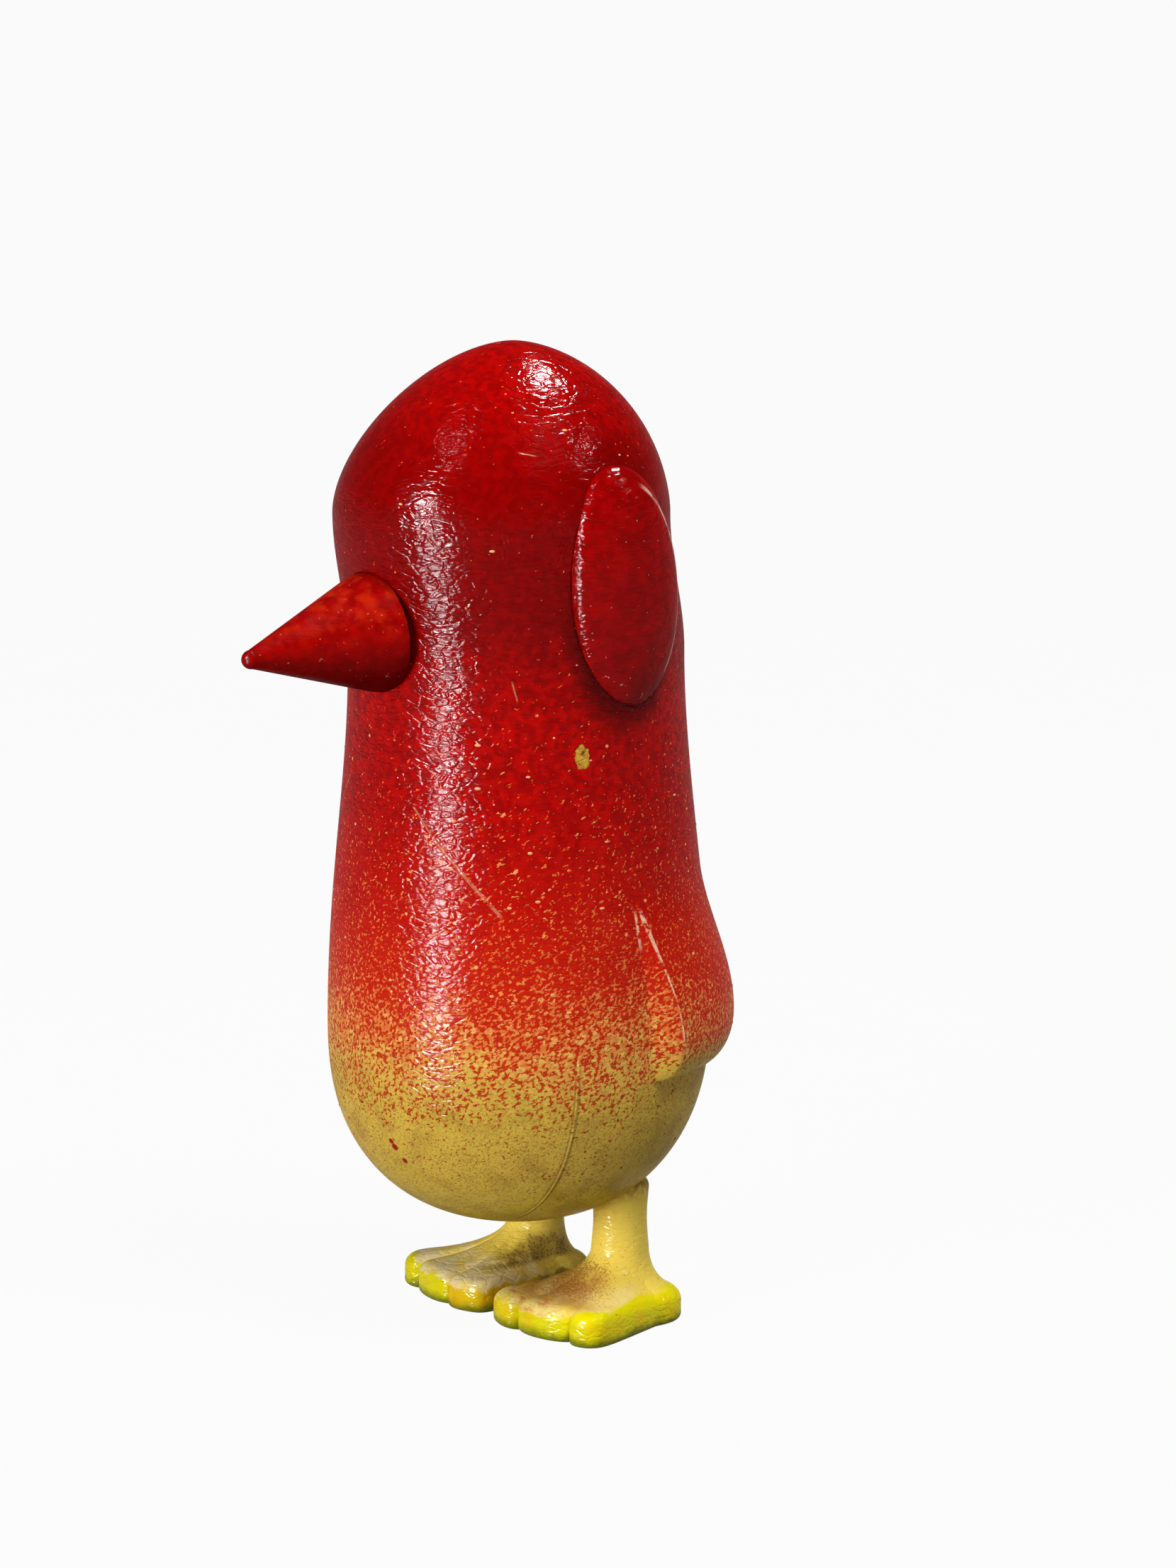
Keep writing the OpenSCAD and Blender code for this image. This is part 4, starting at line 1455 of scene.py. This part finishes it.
@dataclass(frozen=True)
class Beak(Maker):
    """Cone with a rounded tip on a round rim, turned by a node tree."""

    sides: int = 128
    rings: int = 300
    merge: float = 0.002
    sharp: float = 50.0

    @staticmethod
    def place(piece: Solid, figure: Figure) -> Solid:
        """Moves a solid about z to the beak's axis, with its foot on the face."""
        return Mould.place(piece, (90 + figure.beak.droop, 0, 0), (0, figure.face_y, figure.beak_z))

    @property
    def sizes(self) -> dict[str, float]:
        """Values of the tree's named inputs."""
        beak = self.figure.beak
        return {"Root Radius": beak.root_r, "Length": beak.length, "Tip Radius": beak.tip_r,
                "Rim Stand": beak.stand, "Edge Rounding": beak.edge_r, "Plug Radius": beak.plug_r,
                "Plug Depth": beak.plug, "Glue Gap": beak.glue_gap, "Sides": self.sides, "Rings": self.rings}

    def tree(self, paint: bpy.types.Material) -> bpy.types.NodeTree:
        """Node tree that turns the beak's profile about its axis.

        Args:
            paint: Material of the beak.

        Returns:
            Tree with the beak's sizes as named inputs.
        """
        kinds = {name: "Int" if isinstance(size, int) else "Float" for name, size in self.sizes.items()}
        desk, given = Desk.geometry("beak_turning", kinds)
        root, length, tip, stand, rounding, plug, depth, gap, sides, rings = given.values()
        start = desk.make("ShaderNodeCombineXYZ", {"Z": depth * -1.0})
        end = desk.make("ShaderNodeCombineXYZ", {"Z": length})
        line = desk.make("GeometryNodeCurvePrimitiveLine", {"Start": start, "End": end}, "Curve")
        line = desk.make("GeometryNodeResampleCurve", {"Curve": line, "Count": rings}, "Curve")
        along = desk.make("GeometryNodeInputPosition").part("Z")
        tip_z = length - tip
        run = desk.math("DIVIDE", along - stand, tip_z - stand)
        rim = desk.math("SMOOTH_MIN", root - run * (root - tip), root, rounding)
        square = desk.math("POWER", tip, 2.0) - desk.math("POWER", (along - tip_z).most(0.0), 2.0)
        cap = desk.math("SQRT", square.most(0.0))
        front = along.above(tip_z) * (cap - rim) + rim
        radius = along.above(gap) * (front - plug) + plug
        line = desk.make("GeometryNodeSetCurveRadius", {"Curve": line, "Radius": radius})
        circle = desk.make("GeometryNodeCurvePrimitiveCircle", {"Resolution": sides, "Radius": 1.0}, "Curve")
        inputs = {"Curve": line, "Profile Curve": circle, "Fill Caps": True}
        skin = desk.put("GeometryNodeCurveToMesh", inputs)
        if "Scale" in skin.inputs:
            desk.feed(skin.inputs["Scale"], radius)
        merged = {"Geometry": Flow(desk, skin.outputs[0]), "Distance": self.merge}
        return desk.close(desk.make("GeometryNodeMergeByDistance", merged), paint)

    def build(self, paint: bpy.types.Material) -> None:
        """Builds the beak and paints it."""
        piece = Mould.mesh("beak_base", np.zeros((1, 3)), [])
        Mould.grow(piece, self.tree(paint), self.sizes)
        shape = bmesh.new()
        shape.from_mesh(piece.data)
        bmesh.ops.recalc_face_normals(shape, faces=shape.faces)
        shape.to_mesh(piece.data)
        shape.free()
        self.mould.finish(Beak.place(piece, self.figure), "beak_cone", self.sharp)
        dress(piece, paint, Body.FIGURE, Slot.BEAK, "beak")


@dataclass(frozen=True)
class Legs(Maker):
    """Legs with webbed feet, lofted about their own axes."""

    spoke_counts: tuple[int, ...] = (56, 44, 56, 44, 56)
    sole_shares: Pair = (0.35, 0.75)
    sole_rows: int = 8
    rim_rows: int = 18
    instep_rows: int = 48
    leg_rows: int = 26
    shoulder_rows: int = 10
    instep_fall: float = 1.6
    instep_rise: float = 2.4
    waist_full: float = 1.2
    ahead_turn: float = 8.0
    sharp: float = 55.0
    FAR: ClassVar[float] = 9.0

    def angles(self) -> Array:
        """Spoke angles from the inside rear round the front, crowded at the toes."""
        toes = self.figure.leg.toes
        knots = [-180.0, toes[0][0], *(toe[2] for toe in toes), 180.0]
        return np.concatenate([np.linspace(a, b, n, endpoint=False)
                               for a, b, n in zip(knots, knots[1:], self.spoke_counts)])

    def loft(self) -> tuple[Array, dict[str, Array]]:
        """Rings of the left leg from the sole up, with the paint's place values.

        Returns:
            Ring points about the leg's axis, and one array of values for each paint mark.
        """
        leg, figure, a = self.figure.leg, self.figure, self.angles()
        reach = leg.reach(a)
        groove = leg.groove * sum(np.exp(-((a - toe[2]) / leg.groove_turn) ** 2) for toe in leg.toes[:2])
        ahead = ease((cos_deg(a - self.ahead_turn) - 0.2) / 0.5)
        rings: list[Array] = []
        marks: dict[str, list[Array]] = {"inward": [], "ahead": [], "climb": [], "spoke": []}

        def add(r: Any, z: Any, inward: Any = self.FAR, climb: float = 1.0) -> None:
            """Adds one ring and its marks."""
            rings.append(ring(a, r, z))
            for key, value in zip(marks, (inward, ahead, climb, a)):
                marks[key].append(value + 0.0 * a)

        for share in self.sole_shares:
            add((reach - leg.sole_r) * share, 0.0, 0.0, 0.0)
        for b in np.linspace(-90, 0, self.sole_rows):
            add(reach - leg.sole_r * (1 - cos_deg(b)), leg.sole_r * (1 + sin_deg(b)), 0.0, 0.0)
        for b in np.linspace(0, leg.rim_arc, self.rim_rows):
            in_by = leg.rim_r * (1 - cos_deg(b))
            up = leg.toe_h - leg.rim_h * (1 - sin_deg(b))
            add(reach - in_by, up - groove * ease(b / leg.rim_arc), in_by, 0.0)
        for s in np.linspace(0, 1, self.instep_rows)[1:]:
            r = leg.leg_r + (reach - in_by - leg.leg_r) * (1 - s) ** self.instep_fall
            z = mix(up, leg.ankle_z, 0.5 * s + 0.5 * s ** self.instep_rise) - groove * ease(1 - s / 0.5)
            add(r, z, reach - r, s)
        top = figure.socket_z - leg.socket_clear
        for s in np.linspace(0, 1, self.leg_rows)[1:]:
            waist = (leg.leg_r - leg.waist_r) * math.sin(math.pi * s) ** self.waist_full
            add(leg.leg_r - waist, mix(leg.ankle_z, top - leg.shoulder_r, s))
        for b in np.linspace(0, 90, self.shoulder_rows)[1:]:
            add(leg.leg_r - leg.shoulder_r * (1 - cos_deg(b)), top - leg.shoulder_r * (1 - sin_deg(b)))
        flange_z = figure.boss_z + leg.socket_clear
        for r, z in ((leg.peg_r, top), (leg.peg_r, flange_z), (leg.flange_r, flange_z),
                     (leg.peg_r, flange_z + leg.flange_t)):
            add(r, z)
        return np.array(rings), {key: np.array(value) for key, value in marks.items()}

    def build(self, paint: bpy.types.Material) -> None:
        """Builds both legs and paints them."""
        leg = self.figure.leg
        rings, marks = self.loft()
        left = Mould.stacked("left", rings, (0, 0, 0), (0, 0, rings[-1, 0, 2]))
        Mould.place(left, (0, 0, 0), (leg.hip_x, leg.hip_back, 0))
        right = Mould.mirror(left, "right")
        for piece, name, body in ((left, "left_leg", Body.LEFT_LEG), (right, "right_leg", Body.RIGHT_LEG)):
            self.mould.finish(piece, name + "_foot", self.sharp)
            Mould.mark(piece, **{key: np.append(value, [0.0, 0.0]) for key, value in marks.items()})
            dress(piece, paint, body, Slot.LEG, name)


@dataclass(frozen=True)
class PaintDrops(Maker):
    """Raised drops of dried paint, strewn over the body by a node tree."""

    shells: Shells
    longest: float = 2.4
    sharp: float = 80.0
    SIZES: ClassVar[dict[str, float]] = {"Density": 0.05, "Least Radius": 0.05, "Most Radius": 0.16,
                                         "Flatness": 0.4, "Seed": 11}

    def tree(self, paint: bpy.types.Material) -> bpy.types.NodeTree:
        """Node tree that strews flat drops over a skin.

        Args:
            paint: Material of the drops.

        Returns:
            Tree with the drops' sizes as named inputs.
        """
        form = self.figure.body
        kinds = {name: "Int" if isinstance(size, int) else "Float" for name, size in self.SIZES.items()}
        desk, given = Desk.geometry("drop_strewing", {"Skin": "Geometry", **kinds})
        skin, density, least, most, flatness, seed = given.values()
        place = desk.make("GeometryNodeInputPosition")
        z = place.part("Z")
        inside = abs(place.part("X")).below(form.belly_r + 1.0) * place.part("Y").below(form.belly_r - 0.5)
        share = z.step(form.ground_gap + 3.0, form.belly_z + 4.0, 0.1, 1.0)
        share = share * z.step(form.belly_z + 14.0, form.neck_z, 1.0, 0.15)
        share = share * z.step(form.top_z - 4.0, form.top_z - 12.0)
        strewn = desk.put("GeometryNodeDistributePointsOnFaces", {
            "Mesh": skin, "Density": density * (share * inside), "Seed": seed}).outputs
        wide = desk.make("FunctionNodeRandomValue", {2: least, 3: most, "Seed": seed}, 1)
        long = desk.make("FunctionNodeRandomValue", {2: 1.0, 3: self.longest, "Seed": seed + 5.0}, 1)
        size = desk.make("ShaderNodeCombineXYZ", {"X": wide * long, "Y": wide, "Z": wide * flatness})
        drop = desk.make("GeometryNodeMeshIcoSphere", {"Radius": 1.0, "Subdivisions": 2}, "Mesh")
        drops = desk.make("GeometryNodeInstanceOnPoints", {
            "Points": Flow(desk, strewn["Points"]), "Instance": drop, "Scale": size,
            "Rotation": Flow(desk, strewn["Rotation"])})
        return desk.close(drops, paint)

    def build(self, paint: bpy.types.Material) -> None:
        """Strews the drops and paints them."""
        piece = self.shells.skin("drops_base")
        Mould.grow(piece, self.tree(paint), self.SIZES)
        self.mould.finish(piece, "paint_drops", self.sharp)
        dress(piece, paint, Body.FIGURE, Slot.BODY)


@dataclass(frozen=True)
class Lamp:
    """Rectangular lamp that faces a height on the axis, placed in millimetres and degrees."""

    name: str
    azimuth: float
    elevation: float
    distance: float
    aim_z: float
    width: float
    height: float
    radiance: float
    reach: Reach


@dataclass(frozen=True)
class Studio:
    """Pale floor, soft lights and the camera at the picture's view."""

    figure: Figure
    azimuth: float = 53.5
    elevation: float = 11.0
    distance: float = 564.58
    target_z: float = 48.657
    focal_pixels: float = 7865.0
    image: Pair = (1659, 2212)
    target_pixel: Pair = (731.5, 1194.07)
    sensor: float = 36.0
    clip: Pair = (0.02, 50.0)
    floor_r: float = 6.0
    floor_sides: int = 96
    floor_glow: float = 0.95
    paper: Stops = ((0.3, srgb(160, 160, 160)), (0.7, srgb(168, 168, 168)))
    sky: Stops = ((0.0, 0.75), (0.1, 0.44), (0.25, 0.22), (0.45, 0.14), (1.0, 0.13))
    lamps: tuple[Lamp, ...] = (
        Lamp("front_lamp", 8.0, 0.0, 260.0, 66.0, 44.0, 64.0, 180.0, Reach.GLOSS),
        Lamp("low_lamp", 6.0, -20.0, 150.0, 74.0, 30.0, 24.0, 150.0, Reach.GLOSS),
        Lamp("face_lamp", -2.0, 23.0, 300.0, 70.0, 54.0, 60.0, 280.0, Reach.GLOSS),
        Lamp("crown_lamp", -162.0, 64.0, 380.0, 90.0, 76.0, 76.0, 260.0, Reach.GLOSS),
        Lamp("brow_lamp", -15.0, 59.0, 420.0, 85.0, 36.0, 30.0, 120.0, Reach.GLOSS),
        Lamp("side_lamp", 133.0, 44.0, 380.0, 80.0, 30.0, 30.0, 130.0, Reach.GLOSS),
        Lamp("front_key", 10.0, 5.0, 420.0, 40.0, 200.0, 200.0, 12.0, Reach.SHADE),
        Lamp("top_fill", 100.0, 62.0, 450.0, 45.0, 160.0, 160.0, 20.0, Reach.SHADE))

    def stand(self, name: str, data: Any, azimuth: float, elevation: float, distance: float,
              z: float) -> Solid:
        """Stands a camera or lamp around the figure so that it faces its axis.

        Args:
            name: Name of the object.
            data: Camera or light.
            azimuth: Bearing from the front toward the left side, in degrees.
            elevation: Bearing above the level, in degrees.
            distance: Distance from the point that it faces, in millimetres.
            z: Height of that point, in millimetres.

        Returns:
            The object.
        """
        made = bpy.data.objects.new(name, data)
        a, e = math.radians(azimuth), math.radians(elevation)
        toward = Vector((math.sin(a) * math.cos(e), -math.cos(a) * math.cos(e), math.sin(e)))
        made.location = (Vector((0.0, self.figure.axis_y, z)) + toward * distance) * MM
        made.rotation_euler = (-toward).to_track_quat("-Z", "Y").to_euler()
        bpy.context.scene.collection.objects.link(made)
        return made

    def camera(self) -> None:
        """Sets the camera."""
        data = bpy.data.cameras.new("view")
        data.sensor_width = self.sensor
        long_side = max(self.image)
        data.lens = self.focal_pixels * self.sensor / long_side
        data.shift_x = (self.image[0] / 2 - self.target_pixel[0]) / long_side
        data.shift_y = (self.target_pixel[1] - self.image[1] / 2) / long_side
        data.clip_start, data.clip_end = self.clip
        bpy.context.scene.camera = self.stand("view", data, self.azimuth, self.elevation, self.distance,
                                              self.target_z)

    def hang(self, lamp: Lamp) -> None:
        """Hangs a lamp that faces the figure."""
        data = bpy.data.lights.new(lamp.name, "AREA")
        data.shape = "RECTANGLE"
        data.size, data.size_y = lamp.width * MM, lamp.height * MM
        data.energy = lamp.radiance * math.pi * data.size * data.size_y
        light = self.stand(lamp.name, data, lamp.azimuth, lamp.elevation, lamp.distance, lamp.aim_z)
        light.visible_camera = False
        light.visible_diffuse = lamp.reach is Reach.SHADE
        light.visible_glossy = lamp.reach is Reach.GLOSS

    def floor(self) -> None:
        """Lays the floor, which glows for the camera and in gloss, and keeps the shadow."""
        material, desk = Desk.paint("floor_paper")
        tone = desk.noise(desk.millimetres(), 0.05, 3.0).ramp(self.paper, 0.0, 1.0)
        paper = desk.make("ShaderNodeBsdfDiffuse", {"Color": tone, "Roughness": 1.0})
        path = desk.put("ShaderNodeLightPath").outputs
        camera, gloss, glass = (Flow(desk, path[name]) for name in (
            "Is Camera Ray", "Is Glossy Ray", "Is Transmission Ray"))
        seen = desk.math("ADD", camera + gloss, glass, clamp=True)
        bright = desk.make("ShaderNodeEmission", {"Color": (1.0, 1.0, 1.0, 1.0), "Strength": 1.0})
        both = desk.make("ShaderNodeMixShader", {0: seen * self.floor_glow, 1: paper, 2: bright})
        desk.put("ShaderNodeOutputMaterial", {"Surface": both})
        outline = ring(spokes(self.floor_sides), self.floor_r, 0.0)
        ground = Mould.mesh("floor", outline, [list(range(self.floor_sides))])
        ground.data.materials.append(material)

    def world(self) -> None:
        """Sets the soft light from all round, pale at the horizon and dimmer above."""
        world = bpy.data.worlds.new("studio")
        world.use_nodes = True
        bpy.context.scene.world = world
        desk = Desk(world.node_tree)
        sky = desk.make("ShaderNodeTexCoord", None, "Generated").part("Z").ramp(self.sky, -1.0, 1.0)
        glow = desk.make("ShaderNodeBackground", {"Color": sky, "Strength": 1.0})
        desk.put("ShaderNodeOutputWorld", {"Surface": glow})

    def build(self) -> None:
        """Sets up the floor, the lights and the camera."""
        self.floor()
        self.world()
        for lamp in self.lamps:
            self.hang(lamp)
        self.camera()
        bpy.context.scene.view_settings.view_transform = "Standard"


def main() -> None:
    """Builds the figure and its studio."""
    logging.basicConfig(level=logging.INFO, format="%(name)s %(message)s")
    figure = Figure()
    mould = Mould(figure.axis)
    shells = Shells(figure, mould)
    shells.build(BodyPaint().material(figure))
    Beak(figure, mould).build(BeakPaint().material(figure))
    Ears(figure, mould, shells).build(EarPaint().material(figure))
    PaintDrops(figure, mould, shells).build(DropPaint().material(figure))
    Legs(figure, mould).build(LegPaint().material(figure))
    Studio(figure).build()


if __name__ == "__main__":
    main()
